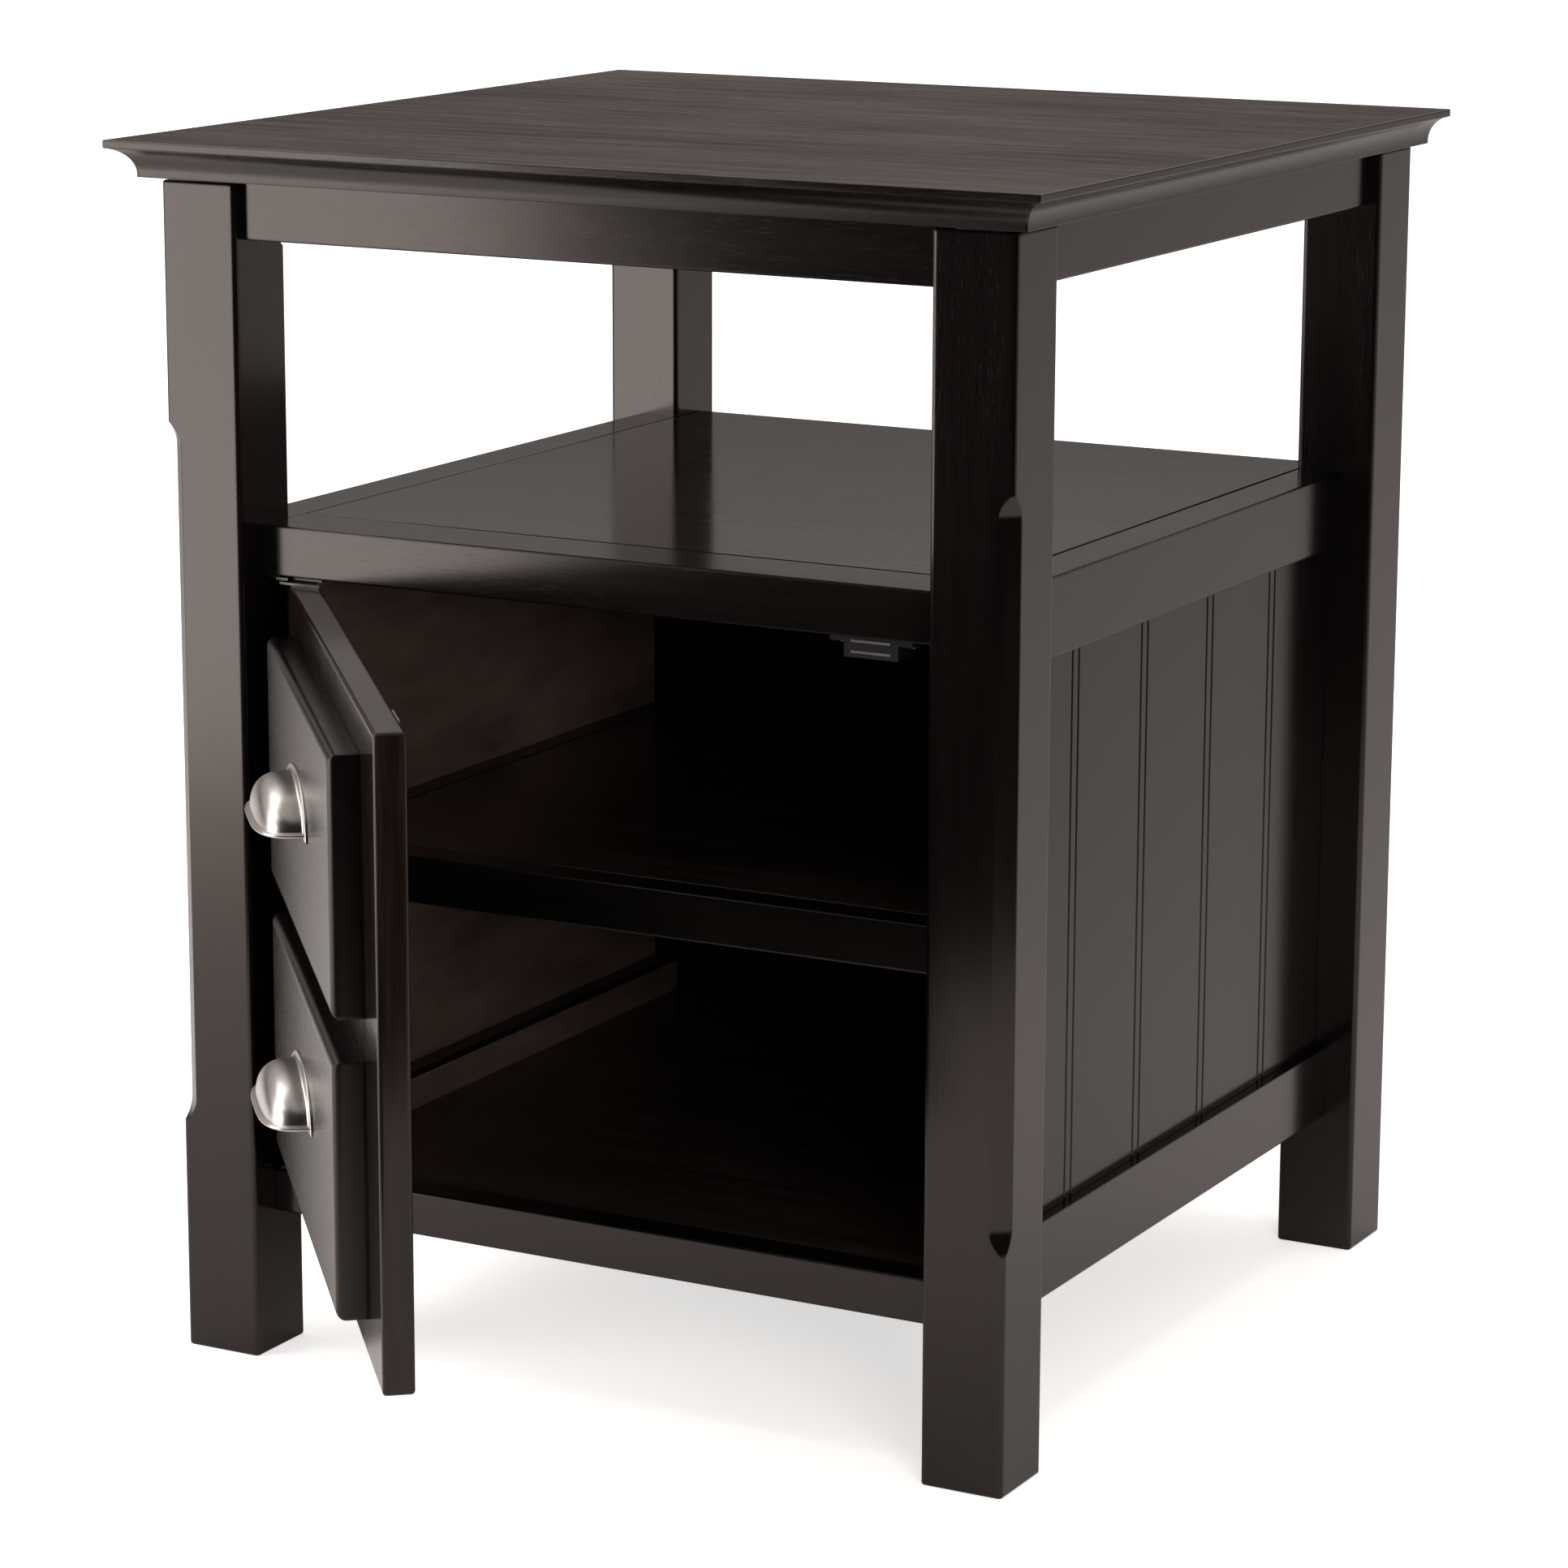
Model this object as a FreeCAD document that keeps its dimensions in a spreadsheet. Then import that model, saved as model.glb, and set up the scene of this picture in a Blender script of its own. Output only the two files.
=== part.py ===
import FreeCAD, Part
import math
import os
import Sketcher

# Side table with an open shelf and a cabinet under it, closed by one inset door with two false
# drawer fronts. Millimetres and degrees. +Z is up, +X is to the right seen from the front, and
# the front faces -Y. The origin is the centre of the legs' footprint, on the floor.

SIZES = {
    # overall
    "table_height": 635,
    "frame_width": 477.6,
    "frame_depth": 489.4,
    # legs: square posts with rounded arrises, the front pair with a stopped outer chamfer
    "leg_side": 44.2,
    "leg_arris_radius": 2.5,
    "leg_end_radius": 1.5,
    "leg_top_gap": 1.6,
    "stop_chamfer": 8.5,
    "stop_low": 122,
    "stop_high": 493,
    "stop_runout": 14,
    "corner_relief": 8.6,
    "relief_runout": 8,
    # top: a board with a thin lip over a mitred cove strip on three sides
    "top_thickness": 19,
    "top_side_overhang": 20.9,
    "top_front_overhang": 20.5,
    "top_back_overhang": 1.2,
    "moulding_width": 38,
    "nose_height": 4.2,
    "nose_arris_radius": 0.8,
    "cove_reach": 12.3,
    "cove_radius": 13.7,
    # aprons and their knock-down corner joints
    "apron_height": 30,
    "apron_thickness": 19,
    "apron_setback": 6.5,
    "bracket_height": 24,
    "bracket_thickness": 2,
    "bracket_flange": 24,
    "bolt_diameter": 8,
    "bolt_reach": 13,
    "nut_across_corners": 14.4,
    "nut_height": 6.5,
    "hole_clearance": 0.1,
    "bracket_screw_across_corners": 8,
    "bracket_screw_head_height": 2,
    "bracket_screw_shank": 3.5,
    "bracket_screw_length": 16,
    # boards
    "board_arris_radius": 1,
    "panel_thickness": 15,
    "panel_side_gap": 0.8,
    "joint_clearance": 0.3,
    # open shelf
    "shelf_top_height": 440,
    "shelf_rail_height": 26,
    "shelf_rail_depth": 40,
    "rail_setback": 18.7,
    "rear_rail_setback": 4.7,
    "rear_rail_depth": 20,
    "rear_rail_height": 25,
    "shelf_back_setback": 14.7,
    # cabinet sides
    "side_rail_setback": 18.4,
    "side_rail_thickness": 25.4,
    "side_rail_height": 40,
    "side_panel_thickness": 5,
    "side_panel_inset": 14.6,
    "panel_groove_depth": 6,
    "groove_clearance": 0.1,
    "ledge_chamfer": 3,
    "bead_pairs": 4,
    "bead_pitch": 81.8,
    "bead_spacing": 7.3,
    "bead_groove_width": 1.8,
    "bead_groove_depth": 1.1,
    # cabinet floor, middle shelf and back
    "bottom_rail_low": 75.5,
    "front_bottom_rail_top_height": 98.5,
    "front_bottom_rail_depth": 19.4,
    "bottom_panel_height": 96,
    "middle_shelf_height": 270,
    "middle_rail_height": 24.5,
    "middle_rail_depth": 20,
    "middle_rail_setback": 41.7,
    "back_panel_thickness": 3,
    "panel_pins_per_rail": 3,
    "panel_pin_margin": 24.6,
    "panel_pin_diameter": 1.8,
    "panel_pin_length": 16,
    # door
    "door_open": 50.3,
    "door_gap": 2,
    "door_bottom_gap": 6.5,
    "door_top_gap": 3,
    "door_thickness": 15,
    "door_arris_radius": 2,
    "door_face_setback": 20.7,
    "pivot_from_edge": 11.1,
    "pivot_proud": 0.75,
    # false drawer fronts
    "front_side_margin": 51,
    "front_end_margin": 20,
    "front_gap": 20,
    "front_thickness": 15,
    "front_arris_radius": 4.5,
    # cup pulls
    "pull_width": 84.4,
    "pull_rise": 22,
    "pull_depth": 21.4,
    "pull_arch_power": 2,
    "pull_profile_power": 3,
    "pull_corner_share": 0.9,
    "pull_wall_thickness": 1.3,
    "pull_lip_lift": 0.5,
    "pull_lip_drop": 1.5,
    "pull_flange_side_margin": 6.3,
    "pull_flange_top_margin": 3.1,
    "pull_flange_thickness": 1.2,
    "pull_rim_height": 2,
    "pull_rim_flare": 2.2,
    "pull_rim_radius": 0.9,
    "pull_screw_spacing": 50,
    "pull_screw_height": 10,
    "pull_screw_diameter": 4,
    "pull_post_diameter": 7,
    "pull_screw_bite": 7,
    "screw_head_diameter": 9,
    "screw_head_height": 2.4,
    # pivot hinges
    "leaf_thickness": 1.2,
    "leaf_width": 12,
    "frame_leaf_length": 32,
    "frame_leaf_start": 10,
    "door_leaf_length": 27,
    "door_leaf_start": 7.5,
    "door_leaf_slant": 9.7,
    "ear_width": 7,
    "ear_reach": 3.5,
    "pin_diameter": 4,
    "pin_clearance": 0.05,
    "collar_diameter": 6.4,
    "hinge_screw_shank": 3,
    "hinge_screw_head": 5.2,
    "hinge_screw_length": 13,
    "hinge_screw_pitch": 11,
    "frame_screw_start": 17,
    "door_screw_start": 4,
    # magnetic catch and its strike
    "catch_from_leg": 49.6,
    "catch_body_width": 29.5,
    "catch_width": 45,
    "catch_height": 14,
    "catch_ear_height": 6.5,
    "catch_depth": 19,
    "catch_gap": 0.3,
    "pole_width": 21.5,
    "pole_thickness": 1.2,
    "pole_pitch": 5.4,
    "pole_low": 2.2,
    "pole_proud": 0.5,
    "pole_length": 15,
    "strike_width": 24,
    "strike_height": 11,
    "strike_thickness": 1.2,
    "catch_screw_head": 6,
    "catch_screw_head_height": 1.6,
    "catch_screw_shank": 3,
    "catch_screw_length": 12,
}

SAME_WITHIN = 0.01

document = FreeCAD.newDocument("side_table")
nodes = []


class Size:
    """A length, angle or number, known both by value and by the sheet formula that gives it."""

    def __init__(self, number, formula):
        self.number = float(number)
        self.formula = formula

    def joined(self, sign, other, number):
        return Size(number, f"({self.formula} {sign} {other.formula})")

    def __add__(self, other):
        other = as_size(other)
        return self.joined("+", other, self.number + other.number)

    def __sub__(self, other):
        other = as_size(other)
        return self.joined("-", other, self.number - other.number)

    def __mul__(self, other):
        other = as_size(other)
        return self.joined("*", other, self.number * other.number)

    def __truediv__(self, other):
        other = as_size(other)
        return self.joined("/", other, self.number / other.number)

    def __radd__(self, other):
        return as_size(other) + self

    def __rsub__(self, other):
        return as_size(other) - self

    def __rmul__(self, other):
        return as_size(other) * self

    def __neg__(self):
        return as_size(0) - self


def as_size(value):
    """A plain number as a Size; a Size stays as it is."""
    if isinstance(value, Size):
        return value
    return Size(value, f"({value})")


def on_sheet(name):
    """The driving dimension of that name."""
    return Size(SIZES[name], f"Sizes.{name}")


def make_sheet():
    """Write the driving dimensions, one aliased cell each."""
    sheet = document.addObject("Spreadsheet::Sheet", "Sizes")
    for row, (name, value) in enumerate(SIZES.items(), start=1):
        sheet.set(f"A{row}", str(value))
        sheet.setAlias(f"A{row}", name)


def bind(item, path, size):
    item.setExpression(path, as_size(size).formula)


# ---------------------------------------------------------------- derived planes and places

HALF_WIDTH = on_sheet("frame_width") / 2
HALF_DEPTH = on_sheet("frame_depth") / 2
INNER_X = HALF_WIDTH - on_sheet("leg_side")
INNER_Y = HALF_DEPTH - on_sheet("leg_side")
TOP_UNDERSIDE = on_sheet("table_height") - on_sheet("top_thickness")
NOSE_UNDERSIDE = on_sheet("table_height") - on_sheet("nose_height")
LEG_TOP = TOP_UNDERSIDE - on_sheet("leg_top_gap")
APRON_LOW = TOP_UNDERSIDE - on_sheet("apron_height")
ROOT_TWO = Size(math.sqrt(2), "sqrt(2)")
CORNER_REACH = on_sheet("leg_side") / ROOT_TWO

TOP_EDGE_X = HALF_WIDTH + on_sheet("top_side_overhang")
TOP_FRONT_Y = -(HALF_DEPTH + on_sheet("top_front_overhang"))
TOP_BACK_Y = HALF_DEPTH + on_sheet("top_back_overhang")

PANEL_X = INNER_X - on_sheet("panel_side_gap")
FRONT_RAIL_Y = on_sheet("rail_setback") - HALF_DEPTH
REAR_RAIL_BACK_Y = HALF_DEPTH - on_sheet("rear_rail_setback")
REAR_RAIL_FRONT_Y = REAR_RAIL_BACK_Y - on_sheet("rear_rail_depth")
SHELF_RAIL_LOW = on_sheet("shelf_top_height") - on_sheet("shelf_rail_height")
SHELF_UNDERSIDE = on_sheet("shelf_top_height") - on_sheet("panel_thickness")

SIDE_RAIL_OUT = HALF_WIDTH - on_sheet("side_rail_setback")
SIDE_RAIL_IN = SIDE_RAIL_OUT - on_sheet("side_rail_thickness")
UPPER_RAIL_LOW = on_sheet("shelf_top_height") - on_sheet("side_rail_height")
LOWER_RAIL_TOP = on_sheet("bottom_rail_low") + on_sheet("side_rail_height")
SIDE_PANEL_IN = SIDE_RAIL_IN + on_sheet("side_panel_inset")
SIDE_PANEL_OUT = SIDE_PANEL_IN + on_sheet("side_panel_thickness")

# the door's own frame has its origin on the pivot axis, at floor level, and X along the slab
PIVOT_X = on_sheet("door_gap") + on_sheet("pivot_from_edge") - INNER_X
PIVOT_Y = on_sheet("door_face_setback") - HALF_DEPTH - on_sheet("pivot_proud")
SLAB_LENGTH = 2 * INNER_X - 2 * on_sheet("door_gap")
SLAB_START = -on_sheet("pivot_from_edge")
SLAB_END = SLAB_LENGTH - on_sheet("pivot_from_edge")
SLAB_FACE = on_sheet("pivot_proud")
SLAB_BACK = SLAB_FACE + on_sheet("door_thickness")
FRONT_FACE = SLAB_FACE - on_sheet("front_thickness")
SLAB_MIDDLE = (SLAB_START + SLAB_END) / 2
DOOR_LOW = on_sheet("front_bottom_rail_top_height") + on_sheet("door_bottom_gap")
DOOR_HIGH = SHELF_RAIL_LOW - on_sheet("door_top_gap")
DOOR_HEIGHT = DOOR_HIGH - DOOR_LOW
FRONT_HEIGHT = (DOOR_HEIGHT - 2 * on_sheet("front_end_margin") - on_sheet("front_gap")) / 2
LOWER_FRONT_LOW = DOOR_LOW + on_sheet("front_end_margin")
UPPER_FRONT_LOW = LOWER_FRONT_LOW + FRONT_HEIGHT + on_sheet("front_gap")

# shares of a pull's rise at which the sections of its hood lie
HOOD_LEVELS = (0, 0.45, 0.8, 0.95, 0.998)

LEFT_RIGHT = (("left", -1), ("right", 1))
ACROSS = FreeCAD.Vector(1, 0, 0)
DEEP = FreeCAD.Vector(0, 1, 0)
UPRIGHT = FreeCAD.Vector(0, 0, 1)


# ---------------------------------------------------------------- modelling helpers


def keep(item, name):
    """Make an object a sub-part: its label names its file."""
    item.Label = name
    nodes.append(item)
    return item


def place(item, at, turn=None):
    """Put an object at a bound place, after an optional fixed turn."""
    if turn is not None:
        item.Placement = FreeCAD.Placement(FreeCAD.Vector(), turn)
    for axis, size in zip("xyz", at):
        bind(item, "Placement.Base." + axis, size)


def hang_on_door(item):
    """Carry an object modelled in the door's frame round the pivot to the door's rest angle."""
    closing = FreeCAD.Rotation(FreeCAD.Vector(0, 0, -1), SIZES["door_open"])
    place(item, (PIVOT_X, PIVOT_Y, 0), closing)
    bind(item, "Placement.Rotation.Angle", on_sheet("door_open"))


def new_body(name):
    return keep(document.addObject("PartDesign::Body", name), name)


def origin_part(body, role):
    """A plane or axis of the body's own frame."""
    return [part for part in body.Origin.OriginFeatures if part.Role == role][0]


def edge_between(start, end, radius):
    """A line, or the short arc whose centre is on the left of the way when radius is positive."""
    if radius is None:
        return Part.LineSegment(start, end)
    chord = end - start
    left = FreeCAD.Vector(-chord.y, chord.x, 0).normalize()
    side = math.copysign(1, radius.number)
    reach = math.sqrt(radius.number**2 - (chord.Length / 2) ** 2)
    centre = (start + end) * 0.5 + left * (side * reach)
    crown = centre - left * radius.number
    return Part.Arc(start, crown, end)


def outline(body, plane, corners, offset=0, turn=0):
    """Closed sketch on an origin plane. A corner is (x, y), or (x, y, radius) before an arc."""
    sketch = body.newObject("Sketcher::SketchObject", body.Name + "_outline")
    sketch.AttachmentSupport = [(origin_part(body, plane), "")]
    sketch.MapMode = "FlatFace"
    turned = FreeCAD.Rotation(FreeCAD.Vector(0, 1, 0), turn)
    sketch.AttachmentOffset = FreeCAD.Placement(FreeCAD.Vector(), turned)
    bind(sketch, "AttachmentOffset.Base.z", offset)
    corners = [[as_size(x), as_size(y), *rest] for x, y, *rest in corners]
    points = [FreeCAD.Vector(corner[0].number, corner[1].number, 0) for corner in corners]
    count = len(points)
    ends = []
    for index, corner in enumerate(corners):
        radius = corner[2] if corner[2:] else None
        following = points[(index + 1) % count]
        sketch.addGeometry(edge_between(points[index], following, radius), False)
        clockwise = radius is not None and radius.number < 0
        ends.append((2, 1) if clockwise else (1, 2))
    for index in range(count):
        following = (index + 1) % count
        joint = Sketcher.Constraint("Coincident", index, ends[index][1], following, ends[following][0])
        sketch.addConstraint(joint)
    for index, corner in enumerate(corners):
        for kind, size in (("DistanceX", corner[0]), ("DistanceY", corner[1])):
            constraint = Sketcher.Constraint(kind, -1, 1, index, ends[index][0], size.number)
            bind(sketch, f"Constraints[{sketch.addConstraint(constraint)}]", size)
        if corner[2:]:
            constraint = Sketcher.Constraint("Radius", index, abs(corner[2].number))
            bind(sketch, f"Constraints[{sketch.addConstraint(constraint)}]", upright_size(corner[2]))
    return sketch


def upright_size(size):
    """The size without its sign."""
    return Size(abs(size.number), f"abs({size.formula})")


def circle(body, plane, x, y, diameter, offset=0, turn=0):
    """Sketch of one circle on an origin plane."""
    sketch = body.newObject("Sketcher::SketchObject", body.Name + "_circle")
    sketch.AttachmentSupport = [(origin_part(body, plane), "")]
    sketch.MapMode = "FlatFace"
    turned = FreeCAD.Rotation(FreeCAD.Vector(0, 1, 0), turn)
    sketch.AttachmentOffset = FreeCAD.Placement(FreeCAD.Vector(), turned)
    bind(sketch, "AttachmentOffset.Base.z", offset)
    x, y, diameter = as_size(x), as_size(y), as_size(diameter)
    centre = FreeCAD.Vector(x.number, y.number, 0)
    sketch.addGeometry(Part.Circle(centre, FreeCAD.Vector(0, 0, 1), diameter.number / 2), False)
    for kind, size in (("DistanceX", x), ("DistanceY", y)):
        constraint = Sketcher.Constraint(kind, -1, 1, 0, 3, size.number)
        bind(sketch, f"Constraints[{sketch.addConstraint(constraint)}]", size)
    constraint = Sketcher.Constraint("Diameter", 0, diameter.number)
    bind(sketch, f"Constraints[{sketch.addConstraint(constraint)}]", diameter)
    return sketch


def rectangle(low_x, low_y, high_x, high_y):
    """Corners of a rectangle, for outline()."""
    return [(low_x, low_y), (high_x, low_y), (high_x, high_y), (low_x, high_y)]


def pad(body, sketch, length, both_ways=False, backwards=False):
    feature = body.newObject("PartDesign::Pad", body.Name + "_pad")
    feature.Profile = sketch
    feature.SideType = "Symmetric" if both_ways else "One side"
    feature.Reversed = backwards
    bind(feature, "Length", length)
    return feature


def pocket(body, sketch, length=None, both_ways=False, backwards=False):
    """Cut against the sketch's normal, to a depth or right through."""
    feature = body.newObject("PartDesign::Pocket", body.Name + "_pocket")
    feature.Profile = sketch
    feature.SideType = "Symmetric" if both_ways else "One side"
    feature.Reversed = backwards
    if length is None:
        feature.Type = "ThroughAll"
    else:
        bind(feature, "Length", length)
    return feature


def dress_edges(body, kind, chosen):
    """Fillet or Chamfer on the edges of the body's last feature for which chosen(edge) is true."""
    document.recompute()
    last = body.Tip
    names = [f"Edge{index}" for index, edge in enumerate(last.Shape.Edges, start=1) if chosen(edge)]
    feature = body.newObject("PartDesign::" + kind, f"{body.Name}_{kind.lower()}")
    feature.Base = (last, names)
    return feature


def round_edges(body, radius, chosen):
    bind(dress_edges(body, "Fillet", chosen), "Radius", radius)


def runs_along(edge, direction):
    """Whether an edge is straight and parallel to a direction."""
    first, last = edge.Vertexes[0].Point, edge.Vertexes[-1].Point
    way = last - first
    return way.Length > 0 and abs(way.dot(direction)) > 0.999 * way.Length


def same(number, size):
    return abs(number - as_size(size).number) < SAME_WITHIN


def board(name, low, high, grain, arris="board_arris_radius"):
    """Rectangular board between two opposite corners, with the edges along its grain eased."""
    body = new_body(name)
    sketch = outline(body, "XY_Plane", rectangle(low[0], low[1], high[0], high[1]), offset=low[2])
    pad(body, sketch, high[2] - low[2])
    round_edges(body, on_sheet(arris), lambda edge: runs_along(edge, grain))
    return body


def primitive(kind, at, turn=None, **sizes):
    """Part primitive with every named size bound to the sheet."""
    item = document.addObject(kind, "form")
    for prop, size in sizes.items():
        bind(item, prop, size)
    place(item, at, turn)
    return item


def boolean(kind, base, tool, name="joined"):
    item = document.addObject(kind, name)
    item.Base = base
    item.Tool = tool
    return item


def fused(items, name="fused"):
    item = document.addObject("Part::MultiFuse", name)
    item.Shapes = items
    return item


def group(name, items):
    """Sub-part made of separate identical solids."""
    item = document.addObject("Part::Compound", name)
    item.Links = items
    return keep(item, name)


# turns that take an upright fastener's own +Z onto a side of the table's frame
DRIVEN = {
    ("x", 1): FreeCAD.Rotation(DEEP, 90),
    ("x", -1): FreeCAD.Rotation(DEEP, -90),
    ("y", 1): FreeCAD.Rotation(ACROSS, -90),
    ("y", -1): FreeCAD.Rotation(ACROSS, 90),
    ("z", 1): FreeCAD.Rotation(UPRIGHT, 0),
    ("z", -1): FreeCAD.Rotation(ACROSS, 180),
}


def with_shank(cap, outer, way, shank, reach):
    """Screw: its head and the shank that runs from the head's outer face."""
    stem = primitive("Part::Cylinder", outer, DRIVEN[way], Radius=shank / 2, Height=reach)
    return fused([cap, stem])


def pan_screw(outer, way, head, head_height, shank, length):
    """Screw with a drum head. Length is under the head."""
    cap = primitive("Part::Cylinder", outer, DRIVEN[way], Radius=head / 2, Height=head_height)
    return with_shank(cap, outer, way, shank, head_height + length)


def hexagon_screw(outer, way, corners, head_height, shank, length):
    """Screw with a hexagonal head, measured across its corners. Length is under the head."""
    turn = DRIVEN[way]
    cap = primitive("Part::Prism", outer, turn, Circumradius=corners / 2, Height=head_height)
    return with_shank(cap, outer, way, shank, head_height + length)


def flat_screw(outer, way):
    """Countersunk hinge screw, its face flush with the leaf."""
    head, shank = on_sheet("hinge_screw_head") / 2, on_sheet("hinge_screw_shank") / 2
    depth = head - shank
    cone = primitive("Part::Cone", outer, DRIVEN[way], Radius1=head, Radius2=shank, Height=depth)
    return with_shank(cone, outer, way, 2 * shank, on_sheet("hinge_screw_length"))


# ---------------------------------------------------------------- legs and corner joints

# name, side in X, side in Y, turn about Z that carries the front right leg there
CORNERS = (
    ("front_right", 1, -1, 0),
    ("rear_right", 1, 1, 90),
    ("rear_left", -1, 1, 180),
    ("front_left", -1, -1, 270),
)
BOLT_HEIGHT = APRON_LOW + on_sheet("apron_height") / 2
RELIEF_PLANE = CORNER_REACH - on_sheet("corner_relief") / ROOT_TWO
# from the relieved corner to the inner face of an apron, along the leg's diagonal
APRON_STEP = on_sheet("leg_side") - on_sheet("apron_setback") - on_sheet("apron_thickness")
BRACKET_REACH = (
    APRON_STEP * ROOT_TWO - on_sheet("corner_relief") / ROOT_TWO + on_sheet("joint_clearance")
)
# from the relieved corner along an apron, to where a bracket's flange starts and to its middle
FLANGE_START = (BRACKET_REACH + on_sheet("joint_clearance")) / ROOT_TWO
FLANGE_MIDDLE = FLANGE_START + on_sheet("bracket_flange") / 2


def make_leg(corner, side_x, side_y, turn):
    """Square post. In its own frame the outer corner of the table is at +X, -Y."""
    body = new_body("leg_" + corner)
    half = on_sheet("leg_side") / 2
    pad(body, outline(body, "XY_Plane", rectangle(-half, -half, half, half)), LEG_TOP)
    round_edges(body, on_sheet("leg_arris_radius"), lambda edge: runs_along(edge, UPRIGHT))
    round_edges(body, on_sheet("leg_end_radius"), lambda edge: same(edge.BoundBox.ZLength, 0))
    if side_y < 0:
        cut_stopped_chamfer(body)
    cut_corner_relief(body)
    bore = on_sheet("bolt_diameter") + on_sheet("hole_clearance")
    pocket(body, circle(body, "XZ_Plane", 0, BOLT_HEIGHT, bore, turn=45))
    middle_x = side_x * (HALF_WIDTH - half)
    middle_y = side_y * (HALF_DEPTH - half)
    place(body, (middle_x, middle_y, 0), FreeCAD.Rotation(UPRIGHT, turn))


def cut_stopped_chamfer(body):
    """Chamfer the outer corner between two scooped run-outs, drawn on the post's diagonal plane."""
    sink = on_sheet("stop_chamfer") / ROOT_TWO
    plane = CORNER_REACH - sink
    runout = on_sheet("stop_runout")
    scoop = (runout * runout + sink * sink) / (2 * sink)
    outside = CORNER_REACH + sink
    low, high = on_sheet("stop_low"), on_sheet("stop_high")
    corners = [
        (plane, high - runout),
        (plane, low + runout, scoop),
        (CORNER_REACH, low),
        (outside, low),
        (outside, high),
        (CORNER_REACH, high, scoop),
    ]
    pocket(body, outline(body, "XZ_Plane", corners, turn=-45), on_sheet("leg_side"), both_ways=True)


def cut_corner_relief(body):
    """Flatten the inner corner behind the aprons, where the corner bracket pulls up."""
    outside = CORNER_REACH + on_sheet("corner_relief")
    above = LEG_TOP + on_sheet("leg_top_gap")
    corners = [
        (-RELIEF_PLANE, above),
        (-outside, above),
        (-outside, APRON_LOW - on_sheet("relief_runout")),
        (-CORNER_REACH, APRON_LOW - on_sheet("relief_runout")),
        (-RELIEF_PLANE, APRON_LOW),
    ]
    pocket(body, outline(body, "XZ_Plane", corners, turn=-45), on_sheet("leg_side"), both_ways=True)


def corner_place(side_x, side_y, inward):
    """Point on a leg's diagonal, at bolt height, a distance inward from its relieved corner."""
    seat = on_sheet("corner_relief") / 2 - inward / ROOT_TWO
    return side_x * (INNER_X + seat), side_y * (INNER_Y + seat), BOLT_HEIGHT


def corner_turn(turn):
    """Turn that takes +X onto the diagonal pointing into the table."""
    return FreeCAD.Rotation(UPRIGHT, turn + 135)


def make_corner_bracket(corner, side_x, side_y, turn):
    """Bent plate across the corner. Its own +X points into the table, its origin is on the leg."""
    body = new_body("corner_bracket_" + corner)
    metal, flange = on_sheet("bracket_thickness"), on_sheet("bracket_flange") / ROOT_TWO
    start = on_sheet("joint_clearance")
    reach = BRACKET_REACH
    lip = metal / ROOT_TWO
    inner = reach - metal * (ROOT_TWO - 1)
    corners = [
        (start, -reach),
        (start + flange, -reach - flange),
        (start + flange + lip, lip - reach - flange),
        (start + metal, -inner),
        (start + metal, inner),
        (start + flange + lip, reach + flange - lip),
        (start + flange, reach + flange),
        (start, reach),
    ]
    low = -on_sheet("bracket_height") / 2
    pad(body, outline(body, "XY_Plane", corners, offset=low), on_sheet("bracket_height"))
    hole = on_sheet("bolt_diameter") + 4 * on_sheet("hole_clearance")
    pocket(body, circle(body, "YZ_Plane", 0, 0, hole), backwards=True)
    screw_hole = on_sheet("bracket_screw_shank") + 2 * on_sheet("hole_clearance")
    for side in (-1, 1):
        flange_hole = circle(body, "XZ_Plane", FLANGE_MIDDLE, 0, screw_hole, turn=45 * side)
        pocket(body, flange_hole, 2 * on_sheet("leg_side"), both_ways=True)
    place(body, corner_place(side_x, side_y, as_size(0)), corner_turn(turn))


def make_corner_fasteners():
    """One hanger bolt along each leg's diagonal, and the hexagon nut that draws the bracket up."""
    bolts, nuts = [], []
    nut_start = on_sheet("joint_clearance") + on_sheet("bracket_thickness")
    bolt_length = RELIEF_PLANE + on_sheet("bolt_reach")
    radius = on_sheet("bolt_diameter") / 2
    lay_down = FreeCAD.Rotation(DEEP, 90)
    for corner, side_x, side_y, turn in CORNERS:
        along = corner_turn(turn).multiply(lay_down)
        bolt_start = corner_place(side_x, side_y, -RELIEF_PLANE)
        bolts.append(primitive("Part::Cylinder", bolt_start, along, Radius=radius, Height=bolt_length))
        nut_place = corner_place(side_x, side_y, nut_start)
        height = on_sheet("nut_height")
        corner_radius = on_sheet("nut_across_corners") / 2
        hexagon = primitive("Part::Prism", nut_place, along, Circumradius=corner_radius, Height=height)
        thread_radius = radius + on_sheet("hole_clearance") / 2
        thread = primitive("Part::Cylinder", nut_place, along, Radius=thread_radius, Height=height)
        nuts.append(boolean("Part::Cut", hexagon, thread))
    group("hanger_bolts", bolts)
    group("bracket_nuts", nuts)


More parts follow.
